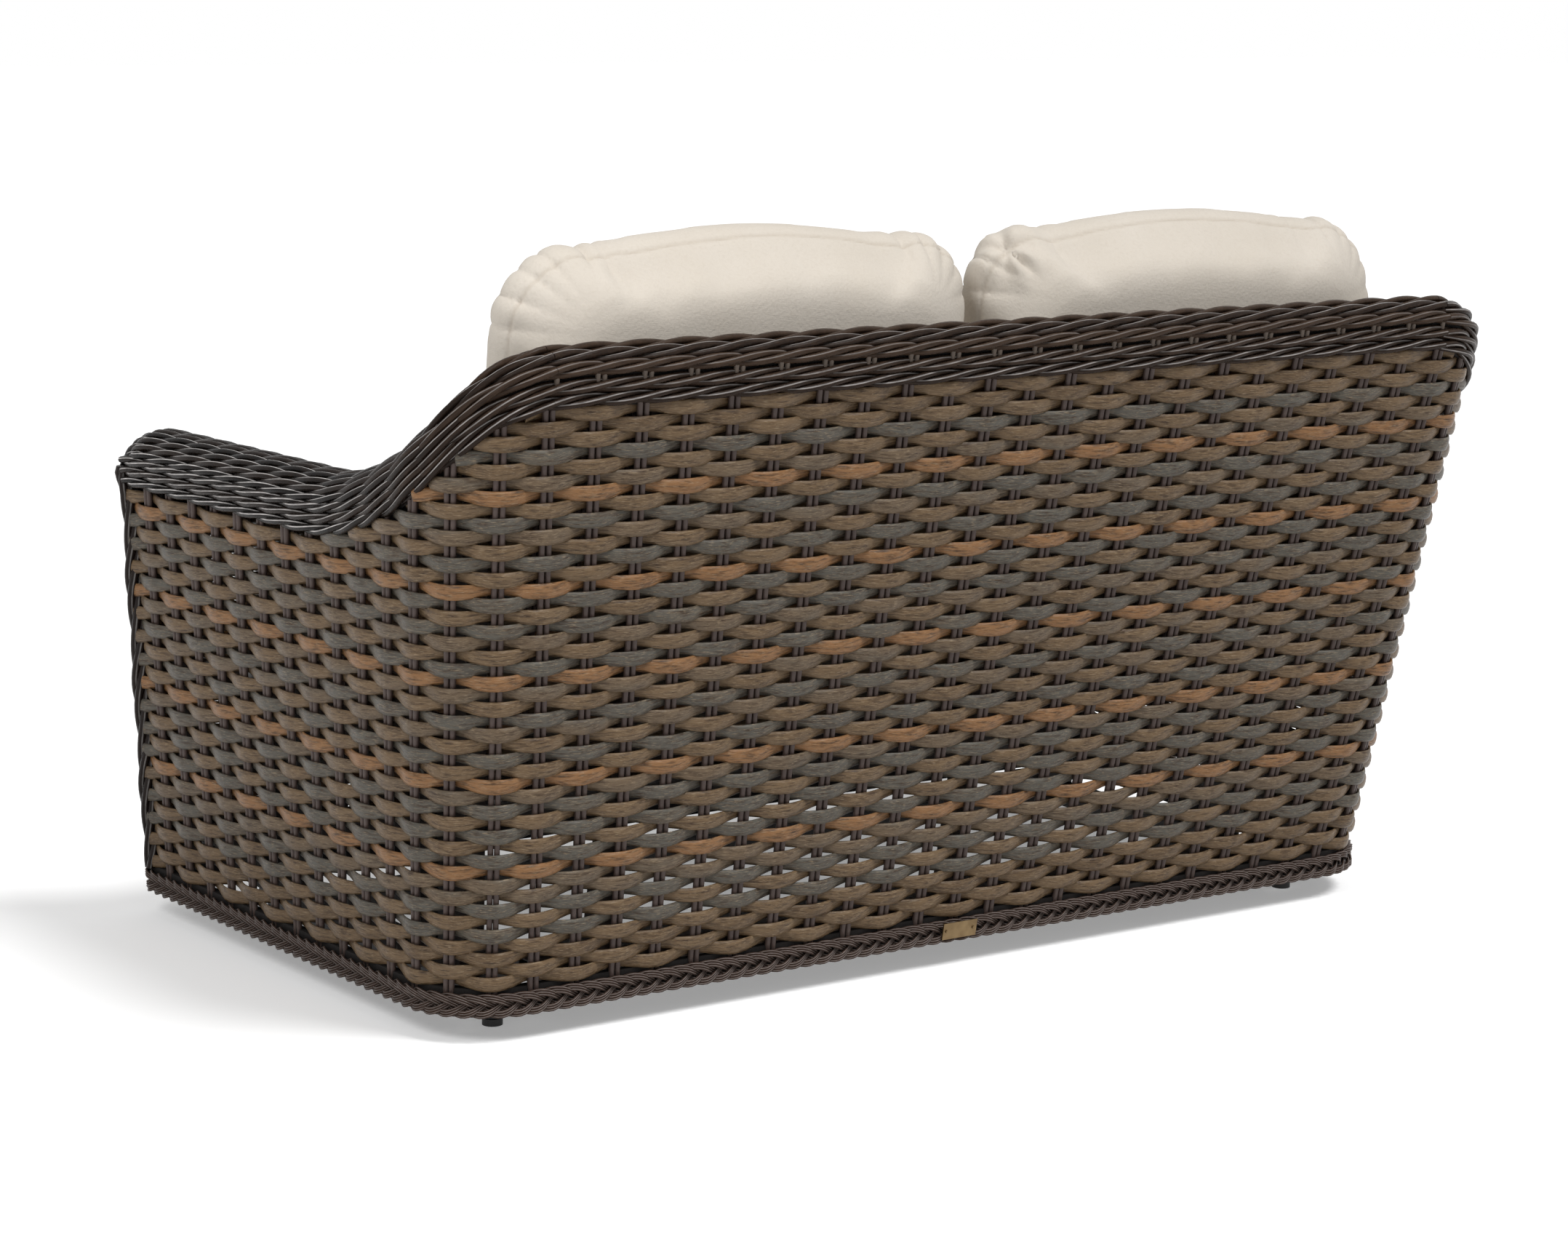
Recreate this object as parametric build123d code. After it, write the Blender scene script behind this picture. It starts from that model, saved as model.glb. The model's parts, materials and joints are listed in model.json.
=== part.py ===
from build123d import *
from math import atan, cos, pi, sin, tan, radians
import os

# Double glider: a woven two-seat body that swings on four links from a low base.
# Millimetres. X runs across the seat, with the sitter's left at plus X. The front
# faces minus Y and the back plus Y. Z is up and the floor is at zero.

# Body outline, taken at the top of the bottom braid
half_width = 696          # centre to the outside of the weave at the rear corners
side_length = 735         # rear face to front face
corner_radius = 102       # rounded rear corners, outside
front_splay_width = 37    # how much further out each side stands at the front
rear_place = 304.4        # rear face from the middle of the object's depth

# How the walls lean, measured over one reference height
lean_height = 700
side_lean_width = 68      # each side leans out
back_lean_depth = 133     # the back leans back
front_lean_depth = 86     # the front leans back
corner_growth = 10        # the corner radius grows

# Heights
ground_gap = 29           # floor to the underside of the braid
braid_height = 36
back_weave_height = 665   # woven back, above the braid
arm_weave_height = 494    # woven sides, above the braid
deck_height = 330         # floor to the top of the seat rails
braid_top = ground_gap + braid_height

# Weave, wrapped rolls and trims
skin_thickness = 14       # woven wall, from bump to bump
course_pitch = 75         # the courses of the weave, in groups
course_groove_depth = 6   # groove between two groups
course_groove_height = 18
back_depth = 60           # back: outer face to inner face
arm_width = 100           # arm: outer face to inner face
back_roll_height = 68
back_roll_straight = 38   # height of its upright face below the round top
arm_roll_height = 71
arm_roll_straight = 32
roll_proud = 3            # the rolls stand this far out of the woven faces
arm_overhang = 9          # the arm rolls reach past the arm fronts
arm_nose_radius = 16      # rounding at the front end of an arm roll
nose_steps = 3            # facets of that rounding
braid_proud = 6
braid_thickness = 24
braid_corner_radius = 22  # its upright corners at the front
trim_diameter = 26        # upright rope at the edges of an arm front
trim_inset = 9            # its axis inside the woven faces
running_gap = 0.3         # between pieces that lie against each other
slot_gap = 2              # round the frame tubes inside a roll

# Where the high back runs down to the arms
swoop_lead = 10.5         # the full height ends this far short of the corner bend
swoop_tail = 182          # the arm's level starts this far past the bend
swoop_place_shares = [0, 0.10, 0.21, 0.295, 0.378, 0.488, 0.60, 0.72, 0.868, 1]
swoop_drop_shares = [0, 0.04, 0.158, 0.327, 0.497, 0.637, 0.754, 0.86, 0.953, 1]

# Frame tubes of the body, square
tube_size = 25
tube_wall = 2
back_post_inset = 200     # centre of an outer back post, inside the outer width
corner_post_share = 0.5   # where along the corner bend its post stands
corner_post_inset_share = 0.72   # of a tube, from the woven wall to the post's centre
rail_bearing_share = 0.2  # of a tube, arm rail past the corner post's centre
gusset_thickness = 4
gusset_depth = 70
lower_rail_inset = 106    # the lower rear rail ends short of the corner bend
seat_rail_gap = 8         # seat rails end short of the skins by this
strap_width = 50
strap_thickness = 2.5
strap_count = 11
apron_cap = 6             # woven apron stands over the seat rail by this

# Base and links
base_rail_inset = 98      # centre of a base rail, inside the outer width
base_tube = 28
base_rear_foot = 84       # rear glide, forward of the body's rear face
base_front_foot = 95      # front glide, behind the body's front face
glide_diameter = 24
glide_pad_height = 8
glide_stem_diameter = 16
glide_height = 20
pivot_drop = 62.5         # upper pivots below the top of the seat rails
rear_link_place = 200     # rear links, forward of the body's rear face
front_link_place = 175    # front links, behind the body's front face
link_width = 32
link_thickness = 6
upright_top_margin = 22   # upright above its pivot
pin_diameter = 12
pin_head_diameter = 20
pin_head_height = 4.6
shoulder_diameter = 18
shoulder_length = 5.8
bush_flange_diameter = 24
bush_outer_diameter = 18
bush_flange = 2
fit_clearance = 0.06      # round fits, on the radius
bush_play = 0.2           # between a bush's faces and the shoulders beside it
hanger_inset = 46         # centre of a hanger bar, inside the outer width

# Name plate
plate_length = 50
plate_height = 21
plate_thickness = 2
nail_diameter = 3.6
nail_head = 1.2
nail_edge = 5

# Cushions
cushion_gap = 8           # between the two cushions of a pair
cushion_clearance = 12    # between a cushion and the arm beside it
seat_cushion_thickness = 124
seat_cushion_front = 14   # behind the front face of the body at seat height
cushion_corner = 46
cushion_edge_round = 16
side_draw = 5             # the sides of a cushion draw in towards their middles
back_cushion_inset = 60   # its outer side, inside the outer width
back_cushion_height = 460
back_cushion_thickness = 142
back_cushion_lean = 5.5   # degrees
settle_steps = 25         # small moves that bring a cushion up against its neighbour
settle_turns = 2
cushion_rise_shares = [0, 0.42, 0.62, 0.74, 0.83, 0.91, 0.97, 1]
cushion_inset_shares = [0, 0.005, 0.02, 0.055, 0.13, 0.28, 0.50, 0.74]

# Values that follow from the sizes above
splay_angle = atan(front_splay_width / side_length)
corner_setback = (1 - sin(splay_angle)) / cos(splay_angle)
corner_turn = pi / 2 - splay_angle
straight_half = half_width - corner_radius * corner_setback
corner_run = corner_radius * corner_turn
side_run = (side_length - corner_radius * (1 - sin(splay_angle))) / cos(splay_angle)
swoop_start = straight_half - swoop_lead
swoop_end = straight_half + corner_run + swoop_tail
front_end = straight_half + corner_run + side_run
back_top = braid_top + back_weave_height
arm_top = braid_top + arm_weave_height
lower_rail_middle = braid_top + tube_size / 2
pivot_height = deck_height - pivot_drop
lower_rail_end = half_width - lower_rail_inset
back_post_place = half_width - back_post_inset
base_place = half_width - base_rail_inset
hanger_place = half_width - hanger_inset
back_cushion_width = half_width - cushion_gap / 2 - back_cushion_inset
back_middle = back_depth / 2
arm_middle = arm_width / 2
wall_foot = deck_height + strap_thickness + running_gap


def lean_share(height):
    """How far up the reference height a level lies, counted from the braid's top."""
    return (height - braid_top) / lean_height


def rear_line(height):
    return rear_place + back_lean_depth * lean_share(height)


def front_line(height):
    return rear_place - side_length + front_lean_depth * lean_share(height)


def rear_half_width(height):
    return half_width + side_lean_width * lean_share(height)


def bend_radius(height):
    return corner_radius + corner_growth * lean_share(height)


def straight_at(height):
    return rear_half_width(height) - bend_radius(height) * corner_setback


def side_start(height):
    """Point where the corner bend meets the side, on the left."""
    reach = bend_radius(height)
    return (
        straight_at(height) + reach * cos(splay_angle),
        rear_line(height) - reach + reach * sin(splay_angle),
    )


def side_point(y_place, height, inset):
    """Point of the left side at one depth, moved inwards."""
    start_x, start_y = side_start(height)
    along = (start_y - y_place) * tan(splay_angle)
    return start_x + along - inset / cos(splay_angle), y_place


def body_point(run, height, inset):
    """Point of the body's plan at a run from the middle of the back, moved inwards."""
    if run <= straight_half:
        return run * straight_at(height) / straight_half, rear_line(height) - inset
    radius = bend_radius(height)
    if run <= straight_half + corner_run:
        angle = pi / 2 - (run - straight_half) / corner_radius
        reach = radius - inset
        return (
            straight_at(height) + reach * cos(angle),
            rear_line(height) - radius + reach * sin(angle),
        )
    start_x, start_y = side_start(height)
    share = (run - straight_half - corner_run) / (front_end - straight_half - corner_run)
    y_place = start_y + (front_line(height) - start_y) * share
    return (
        start_x + (start_y - y_place) * tan(splay_angle) - inset * cos(splay_angle),
        y_place - inset * sin(splay_angle),
    )


def inward_direction(run):
    """Level direction from the outside of the body to its inside at a run."""
    turn = min(max((run - straight_half) / corner_radius, 0), corner_turn)
    return -sin(turn), -cos(turn)


def level_face(points, height):
    corners = [Vector(x, y, height) for x, y in points]
    return make_face(Polyline(*corners, close=True))


def block(outline_at, low, high):
    """Solid between two levels of an outline that is a function of the height."""
    lower = level_face(outline_at(low), low)
    upper = level_face(outline_at(high), high)
    return loft([lower.faces()[0], upper.faces()[0]], ruled=True)


def upright_box(x_low, x_high, y_low, y_high, z_low, z_high):
    size = (x_high - x_low, y_high - y_low, z_high - z_low)
    middle = Pos((x_low + x_high) / 2, (y_low + y_high) / 2, (z_low + z_high) / 2)
    return middle * Box(*size)


def box_tube(x_low, x_high, y_low, y_high, z_low, z_high, along):
    """Square tube with open ends along one axis."""
    outer = upright_box(x_low, x_high, y_low, y_high, z_low, z_high)
    wall = tube_wall
    shrink = {
        "x": (0, wall, wall),
        "y": (wall, 0, wall),
        "z": (wall, wall, 0),
    }[along]
    inner = upright_box(
        x_low + shrink[0], x_high - shrink[0],
        y_low + shrink[1], y_high - shrink[1],
        z_low + shrink[2], z_high - shrink[2],
    )
    return outer - inner


def cross_pin(diameter, x_from, x_to, y_place, height):
    """Round bar along X between two places."""
    length = abs(x_to - x_from)
    middle = Pos((x_from + x_to) / 2, y_place, height)
    return middle * Rot(0, 90, 0) * Cylinder(diameter / 2, length)


def mirrored(solid):
    return mirror(solid, about=Plane.YZ)


def joined(solids):
    """Several separate solids in one node."""
    return Compound(children=list(solids))


def save(name, shape):
    shape.label = name
    export_step(shape, "parts/" + name + ".step")


# Woven walls
def course_grooves(face_line, out_sign, low, high):
    """Level grooves in a straight wall, one above each group of courses."""
    half = course_groove_height / 2
    reach = half_width + side_length
    depth = course_groove_depth
    cutters = []
    for index in range(int((high - low - course_groove_height) // course_pitch)):
        middle = low + course_pitch * (index + 1)
        profile = [
            Vector(-reach, face_line(middle + half) + out_sign * running_gap, middle + half),
            Vector(-reach, face_line(middle) - out_sign * depth, middle),
            Vector(-reach, face_line(middle - half) + out_sign * running_gap, middle - half),
        ]
        face = make_face(Polyline(*profile, close=True))
        cutters.append(extrude(face, 2 * reach, dir=(1, 0, 0)))
    return cutters


def back_outline(height):
    run = swoop_start
    x_outer, y_outer = body_point(run, height, 0)
    y_inner = y_outer - skin_thickness
    return [(-x_outer, y_outer), (x_outer, y_outer), (x_outer, y_inner), (-x_outer, y_inner)]


def make_woven_back():
    wall = block(back_outline, braid_top, back_top - running_gap)
    for cutter in course_grooves(rear_line, 1, braid_top, back_top):
        wall = wall - cutter
    return wall


def corner_face(height):
    """Plan of a rear corner's wall: a short straight of the back, the bend, part of the side."""
    bend_middle = straight_half + corner_run / 2
    bend_end = straight_half + corner_run
    edges = []
    for inset in (0, skin_thickness):
        first = body_point(swoop_start, height, inset)
        start = body_point(straight_half, height, inset)
        middle = body_point(bend_middle, height, inset)
        end = body_point(bend_end, height, inset)
        last = body_point(swoop_end, height, inset)
        edges.append((first, start, middle, end, last))
    outer = [Vector(x, y, height) for x, y in edges[0]]
    inner = [Vector(x, y, height) for x, y in edges[1]]
    wire = [
        Line(outer[0], outer[1]),
        ThreePointArc(outer[1], outer[2], outer[3]),
        Line(outer[3], outer[4]),
        Line(outer[4], inner[4]),
        Line(inner[4], inner[3]),
        ThreePointArc(inner[3], inner[2], inner[1]),
        Line(inner[1], inner[0]),
        Line(inner[0], outer[0]),
    ]
    return make_face(wire).faces()[0]


def swoop_station(share_index):
    run = swoop_start + (swoop_end - swoop_start) * swoop_place_shares[share_index]
    drop = (back_top - arm_top) * swoop_drop_shares[share_index]
    return run, back_top - drop


def roll_section(run, height, width, tall, straight, shrink=0):
    """Upright section of a wrapped roll: flat foot, straight faces and a round top.

    shrink draws the faces and the top in, for the end of a nose."""
    inward_x, inward_y = inward_direction(run)
    foot_x, foot_y = body_point(run, height, 0)
    top_x, top_y = body_point(run, height + tall, 0)
    lean = -((top_x - foot_x) * inward_x + (top_y - foot_y) * inward_y) / tall

    def place(inset, rise):
        depth = inset - lean * rise
        return Vector(foot_x + inward_x * depth, foot_y + inward_y * depth, height + rise)

    outer_foot = place(shrink - roll_proud, 0)
    inner_foot = place(width - shrink, 0)
    outer_side = place(shrink - roll_proud, straight)
    inner_side = place(width - shrink, straight)
    crown = place((width - roll_proud) / 2, tall - shrink)
    wire = [
        Line(outer_foot, outer_side),
        ThreePointArc(outer_side, crown, inner_side),
        Line(inner_side, inner_foot),
        Line(inner_foot, outer_foot),
    ]
    return make_face(wire).faces()[0]


def make_corner_roll():
    sections = []
    for index in range(len(swoop_place_shares)):
        run, height = swoop_station(index)
        share = swoop_place_shares[index]
        width = back_depth + (arm_width - back_depth) * share
        tall = back_roll_height + (arm_roll_height - back_roll_height) * share
        straight = back_roll_straight + (arm_roll_straight - back_roll_straight) * share
        sections.append(roll_section(run, height, width, tall, straight))
    return loft(sections, ruled=True) - arm_rail_slot()


def make_swoop_cutter():
    """Everything over the underside of a corner roll, used to trim the wall below it."""
    overrun = back_depth
    sections = []
    for index in range(len(swoop_place_shares)):
        run, height = swoop_station(index)
        inward_x, inward_y = inward_direction(run)
        foot_x, foot_y = body_point(run, height, 0)
        foot = height - running_gap
        top = back_top + back_roll_height + overrun
        outer = Vector(foot_x - inward_x * overrun, foot_y - inward_y * overrun, foot)
        inner = Vector(foot_x + inward_x * overrun, foot_y + inward_y * overrun, foot)
        raised = Vector(0, 0, top - foot)
        wire = Polyline(outer, inner, inner + raised, outer + raised, close=True)
        sections.append(make_face(wire).faces()[0])
    return loft(sections, ruled=True)


def make_woven_corner(roll):
    wall = loft([corner_face(braid_top), corner_face(back_top)], ruled=True)
    cutter = make_swoop_cutter()
    trimmed = (wall - cutter) - roll
    return max(trimmed.solids(), key=lambda solid: solid.volume)


def side_outline(height):
    points = [body_point(swoop_end, height, 0), body_point(front_end, height, 0)]
    points.append(body_point(front_end, height, skin_thickness))
    points.append(body_point(swoop_end, height, skin_thickness))
    return points


def trim_place(height, from_inside):
    """Axis of an upright rope at an arm front, on its outer or inner edge."""
    y_place = front_line(height) + trim_inset
    inset = arm_width - trim_inset if from_inside else trim_inset
    return side_point(y_place, height, inset)


def make_trim(from_inside, radius, low, high):
    faces = []
    for height in (low, high):
        x_place, y_place = trim_place(height, from_inside)
        centre = Plane(origin=(x_place, y_place, height))
        faces.append((centre * Circle(radius)).faces()[0])
    return loft(faces, ruled=True)


def make_trims():
    """The two ropes of the left arm front, and thicker copies that trim the walls round them."""
    radius = trim_diameter / 2
    ropes = []
    cutters = []
    for from_inside in (False, True):
        low = deck_height + apron_cap + running_gap if from_inside else braid_top
        ropes.append(make_trim(from_inside, radius, low, arm_top - running_gap))
        cutters.append(make_trim(from_inside, radius + running_gap, low - running_gap, back_top))
    return ropes, cutters


def arm_front_outline(height):
    """Woven strip that closes the front of the left arm."""
    y_outer = front_line(height)
    y_inner = y_outer + skin_thickness
    inside = skin_thickness + running_gap
    low_x = side_point(y_outer, height, arm_width)[0]
    return [
        (low_x, y_outer),
        side_point(y_outer, height, inside),
        side_point(y_inner, height, inside),
        (low_x, y_inner),
    ]


def apron_outline(height):
    y_outer = front_line(height)
    y_inner = y_outer + skin_thickness
    x_edge = side_point(y_outer, height, arm_width + running_gap)[0]
    return [(-x_edge, y_outer), (x_edge, y_outer), (x_edge, y_inner), (-x_edge, y_inner)]


def make_apron():
    """Woven wall under the front of the seat."""
    wall = block(apron_outline, braid_top, deck_height + apron_cap)
    for cutter in course_grooves(front_line, -1, braid_top, deck_height):
        wall = wall - cutter
    return wall


def arm_inner_outline(height):
    """Woven wall on the seat side of the left arm."""
    y_rear = rear_line(height) - back_depth - running_gap
    y_front = front_line(height) + skin_thickness + running_gap
    near = arm_width - skin_thickness
    return [
        side_point(y_rear, height, near),
        side_point(y_front, height, near),
        side_point(y_front, height, arm_width),
        side_point(y_rear, height, arm_width),
    ]


def inner_back_outline(height):
    y_front = rear_line(height) - back_depth
    y_rear = y_front + skin_thickness
    x_edge = side_point(y_front, height, arm_width - skin_thickness)[0]
    return [(-x_edge, y_rear), (x_edge, y_rear), (x_edge, y_front), (-x_edge, y_front)]


def make_inner_back(corner_rolls):
    """Woven wall behind the back cushions, narrower above the arms."""
    lower = block(inner_back_outline, wall_foot, arm_top - running_gap)

    def upper_outline(height):
        x_edge = body_point(swoop_start, height, 0)[0]
        y_front = rear_line(height) - back_depth
        y_rear = y_front + skin_thickness
        return [(-x_edge, y_rear), (x_edge, y_rear), (x_edge, y_front), (-x_edge, y_front)]

    upper = block(upper_outline, arm_top - running_gap, back_top - running_gap)
    wall = lower + upper
    for roll in corner_rolls:
        wall = wall - roll
    return max(wall.solids(), key=lambda solid: solid.volume)


# Wrapped rolls
def rail_rise():
    """Height of the rail's underside inside a roll, above the roll's foot."""
    return arm_roll_straight - tube_size + running_gap


def back_rail_outline(x_half, grow):
    """Outline of the rail inside the back roll, as a function of the height."""
    reach = tube_size / 2 + grow

    def outline(height):
        y_place = rear_line(height) - back_middle
        return [
            (-x_half, y_place + reach),
            (x_half, y_place + reach),
            (x_half, y_place - reach),
            (-x_half, y_place - reach),
        ]

    return outline


def arm_rail_outline(y_rear, y_front, grow):
    reach = tube_size / 2 + grow

    def outline(height):
        return [
            side_point(y_rear, height, arm_middle - reach),
            side_point(y_front, height, arm_middle - reach),
            side_point(y_front, height, arm_middle + reach),
            side_point(y_rear, height, arm_middle + reach),
        ]

    return outline


def hollow_rail(outline_maker, low):
    """Square rail of the body frame with open ends, between low and one tube size above."""
    outer = block(outline_maker(0, 0), low, low + tube_size)
    inner = block(outline_maker(-tube_wall, tube_size), low + tube_wall, low + tube_size - tube_wall)
    return outer - inner


def make_back_roll():
    """Roll over the high back, hollow underneath where the rail and its posts go."""
    left = roll_section(swoop_start, back_top, back_depth, back_roll_height, back_roll_straight)
    roll = loft([left, mirrored(left).faces()[0]], ruled=True)
    x_half = half_width + side_lean_width
    slot = block(
        back_rail_outline(x_half, slot_gap),
        back_top - tube_size,
        back_top + rail_rise() + tube_size + running_gap,
    )
    return roll - slot


def make_back_top_rail():
    x_half = body_point(swoop_start, back_top, 0)[0]

    def outline_maker(grow, overrun):
        return back_rail_outline(x_half + overrun, grow)

    return hollow_rail(outline_maker, back_top + rail_rise())


def arm_rail_rear():
    """Depth of the arm rail's rear end, over the corner post."""
    return corner_post_centre(arm_top + rail_rise())[1] + tube_size * rail_bearing_share


def arm_rail_slot():
    """Space for the left arm rail and its front post inside the rolls above them."""
    y_front = front_line(arm_top) + skin_thickness - slot_gap
    return block(
        arm_rail_outline(arm_rail_rear() + slot_gap, y_front, slot_gap),
        arm_top - tube_size,
        arm_top + rail_rise() + tube_size + running_gap,
    )


def make_arm_roll():
    """Left arm roll with a rounded nose."""
    sizes = (arm_top, arm_width, arm_roll_height, arm_roll_straight)
    nose_end = front_end + arm_overhang
    nose_start = nose_end - arm_nose_radius
    nose = []
    for step in range(nose_steps + 1):
        angle = pi / 2 * step / nose_steps
        shrink = arm_nose_radius * (1 - cos(angle))
        nose.append(roll_section(nose_start + arm_nose_radius * sin(angle), *sizes, shrink))
    roll = loft([roll_section(swoop_end, *sizes), nose[0]], ruled=True) + loft(nose, ruled=True)
    return roll - arm_rail_slot()


def make_arm_rail():
    """Left arm rail, from the corner post to the front post."""
    y_front = front_line(arm_top) + skin_thickness + running_gap
    y_rear = arm_rail_rear()

    def outline_maker(grow, overrun):
        return arm_rail_outline(y_rear + overrun, y_front - overrun, grow)

    return hollow_rail(outline_maker, arm_top + rail_rise())


# Bottom braid
def make_braid_ring():
    """The whole braid as one closed ring, before it is parted."""
    solids = []
    for inset in (-braid_proud, braid_thickness - braid_proud):
        faces = []
        for height in (ground_gap, braid_top):
            bend_end = straight_half + corner_run
            start = body_point(straight_half, height, inset)
            middle = body_point(straight_half + corner_run / 2, height, inset)
            end = body_point(bend_end, height, inset)
            y_front = front_line(height) + inset
            front = side_point(y_front, height, inset)
            lift = [Vector(x, y, height) for x, y in (start, middle, end, front)]
            other = [Vector(-v.X, v.Y, v.Z) for v in lift]
            wire = [
                Line(other[0], lift[0]),
                ThreePointArc(lift[0], lift[1], lift[2]),
                Line(lift[2], lift[3]),
                Line(lift[3], other[3]),
                Line(other[3], other[2]),
                ThreePointArc(other[2], other[1], other[0]),
            ]
            faces.append(make_face(wire).faces()[0])
        solids.append(loft(faces, ruled=True))
    return solids[0] - solids[1]


def rounded_ring(ring):
    """Braid ring with its two upright outer corners at the front rounded."""
    x_edge = side_point(front_line(ground_gap), ground_gap, 0)[0]
    corners = [
        edge for edge in ring.edges()
        if abs(edge.tangent_at(0).Z) > abs(edge.tangent_at(0).Y)
        and edge.center().Y < front_line(ground_gap) and abs(edge.center().X) > x_edge
    ]
    return fillet(corners, braid_corner_radius)


def part_braid(ring):
    """The braid in four lengths, each end face to face with the next."""
    reach = half_width + corner_radius + side_length
    x_back = straight_half - corner_radius
    x_front = straight_half
    y_split = rear_place - corner_radius - skin_thickness
    y_front = front_line(braid_top) + corner_radius
    rear = upright_box(-x_back, x_back, y_split, rear_place + reach, 0, braid_top + reach)
    front = upright_box(-x_front, x_front, -reach, y_front, 0, braid_top + reach)
    lengths = {
        "braid_back": ring & rear,
        "braid_front": ring & front,
    }
    rest = ring - rear - front
    lengths["braid_left"] = [solid for solid in rest.solids() if solid.center().X > 0][0]
    lengths["braid_right"] = [solid for solid in rest.solids() if solid.center().X < 0][0]
    return lengths


def thickness_pin(diameter, length, x_place, y_middle, height):
    """Round bar along Y."""
    return Pos(x_place, y_middle, height) * Rot(90, 0, 0) * Cylinder(diameter / 2, length)


def make_name_plate():
    """Plain plate on the outer face of the rear braid, with its two nails."""
    middle = (ground_gap + braid_top) / 2
    low = middle - plate_height / 2
    high = middle + plate_height / 2
    half = plate_length / 2

    def outline(height):
        y_face = rear_line(height) + braid_proud + running_gap
        y_outer = y_face + plate_thickness
        return [(-half, y_face), (half, y_face), (half, y_outer), (-half, y_outer)]

    plate = block(outline, low, high)
    nails = []
    shank_diameter = nail_diameter / 2
    hole_diameter = shank_diameter + 2 * running_gap
    y_seat = rear_line(middle) + braid_proud + running_gap + plate_thickness
    y_head = y_seat + nail_diameter * back_lean_depth / lean_height / 2
    shank_length = y_head - y_seat + plate_thickness
    for side in (-1, 1):
        x_place = side * (half - nail_edge)
        plate = plate - thickness_pin(hole_diameter, braid_thickness, x_place, y_seat, middle)
        shank = thickness_pin(shank_diameter, shank_length, x_place, y_head - shank_length / 2, middle)
        head = thickness_pin(nail_diameter, nail_head, x_place, y_head + nail_head / 2, middle)
        nails.append(shank + head)
    return plate, joined(nails)


# Body frame
def lower_rear_faces():
    """Depths of the rear and front faces of the lower rear rail."""
    y_rear = rear_line(braid_top) - skin_thickness - running_gap
    return y_rear, y_rear - tube_size


def lower_front_faces():
    y_front = front_line(braid_top + tube_size) + skin_thickness + running_gap
    return y_front, y_front + tube_size


def make_lower_rails():
    rear_high, rear_low = lower_rear_faces()
    front_low, front_high = lower_front_faces()
    low = braid_top
    high = braid_top + tube_size
    rear = box_tube(-lower_rail_end, lower_rail_end, rear_low, rear_high, low, high, "x")
    x_front = side_point(front_low, low, skin_thickness + running_gap)[0] - seat_rail_gap
    front = box_tube(-x_front, x_front, front_low, front_high, low, high, "x")
    return rear, front


def hanger_rear_y():
    """Rear end of a hanger bar, clear of the inside of the corner bend."""
    inner_radius = bend_radius(braid_top) - skin_thickness
    offset = hanger_place + tube_size / 2 - straight_at(braid_top)
    rise = (inner_radius ** 2 - offset ** 2) ** 0.5
    return rear_line(braid_top) - bend_radius(braid_top) + rise - tube_wall


def make_hanger_bar():
    """Left hanger bar, which carries two links' lower pins."""
    half = tube_size / 2
    y_front = lower_front_faces()[1]
    x_low = hanger_place - half
    x_high = hanger_place + half
    bar = box_tube(x_low, x_high, y_front, hanger_rear_y(), braid_top, braid_top + tube_size, "y")
    hole = pin_diameter + 2 * fit_clearance
    for y_place in link_places():
        bar = bar - cross_pin(hole, x_low - half, x_high + half, y_place, lower_rail_middle)
    return bar


def link_places():
    """Depths of the front and rear links."""
    return front_line(braid_top) + front_link_place, rear_line(braid_top) - rear_link_place


def make_gusset():
    """Left plate that ties the lower rear rail to the hanger bar and carries the corner post."""
    low = braid_top + tube_size
    x_inner = lower_rail_end - gusset_depth
    x_outer = hanger_place + tube_size / 2
    y_low = lower_rear_faces()[1] - gusset_depth
    y_rear = lower_rear_faces()[0] - tube_size / 2
    y_corner = hanger_rear_y() - tube_wall
    points = [
        (x_inner, y_rear - tube_size / 2),
        (x_inner, y_rear),
        (lower_rail_end, y_rear),
        (x_outer, y_corner),
        (x_outer, y_low),
        (x_outer - tube_size, y_low),
    ]
    base = level_face(points, low)
    return extrude(base, gusset_thickness)


def post(centre_at, low, high):
    """Square upright tube between two levels, its centre a function of the height."""
    half = tube_size / 2

    def outline(reach):
        def corners(height):
            x, y = centre_at(height)
            return [
                (x - reach, y - reach),
                (x + reach, y - reach),
                (x + reach, y + reach),
                (x - reach, y + reach),
            ]

        return corners

    return block(outline(half), low, high) - block(outline(half - tube_wall), low, high)


def make_back_posts():
    low = braid_top + tube_size
    high = back_top + rail_rise()
    posts = []
    for side in (-1, 0, 1):
        def centre(height, side=side):
            return side * back_post_place, rear_line(height) - back_middle

        posts.append(post(centre, low, high))
    return posts


def corner_post_centre(height):
    run = straight_half + corner_run * corner_post_share
    return body_point(run, height, skin_thickness + tube_size * corner_post_inset_share)


def make_corner_post():
    low = braid_top + tube_size + gusset_thickness
    return post(corner_post_centre, low, arm_top + rail_rise())


def front_post_centre(height):
    y_place = front_line(height) + skin_thickness + running_gap + tube_size / 2
    return side_point(y_place, height, arm_middle)


def make_front_post():
    return post(front_post_centre, braid_top + tube_size, arm_top + rail_rise())


def seat_rail_levels():
    return deck_height - tube_size, deck_height


def rear_seat_faces():
    """Depths of the rear seat rail, in front of the back posts."""
    low = seat_rail_levels()[0]
    y_rear = rear_line(low) - back_middle - tube_size / 2 - running_gap
    return y_rear - tube_size, y_rear


def front_seat_faces():
    high = seat_rail_levels()[1]
    y_front = front_line(high) + skin_thickness + running_gap
    return y_front, y_front + tube_size


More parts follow.
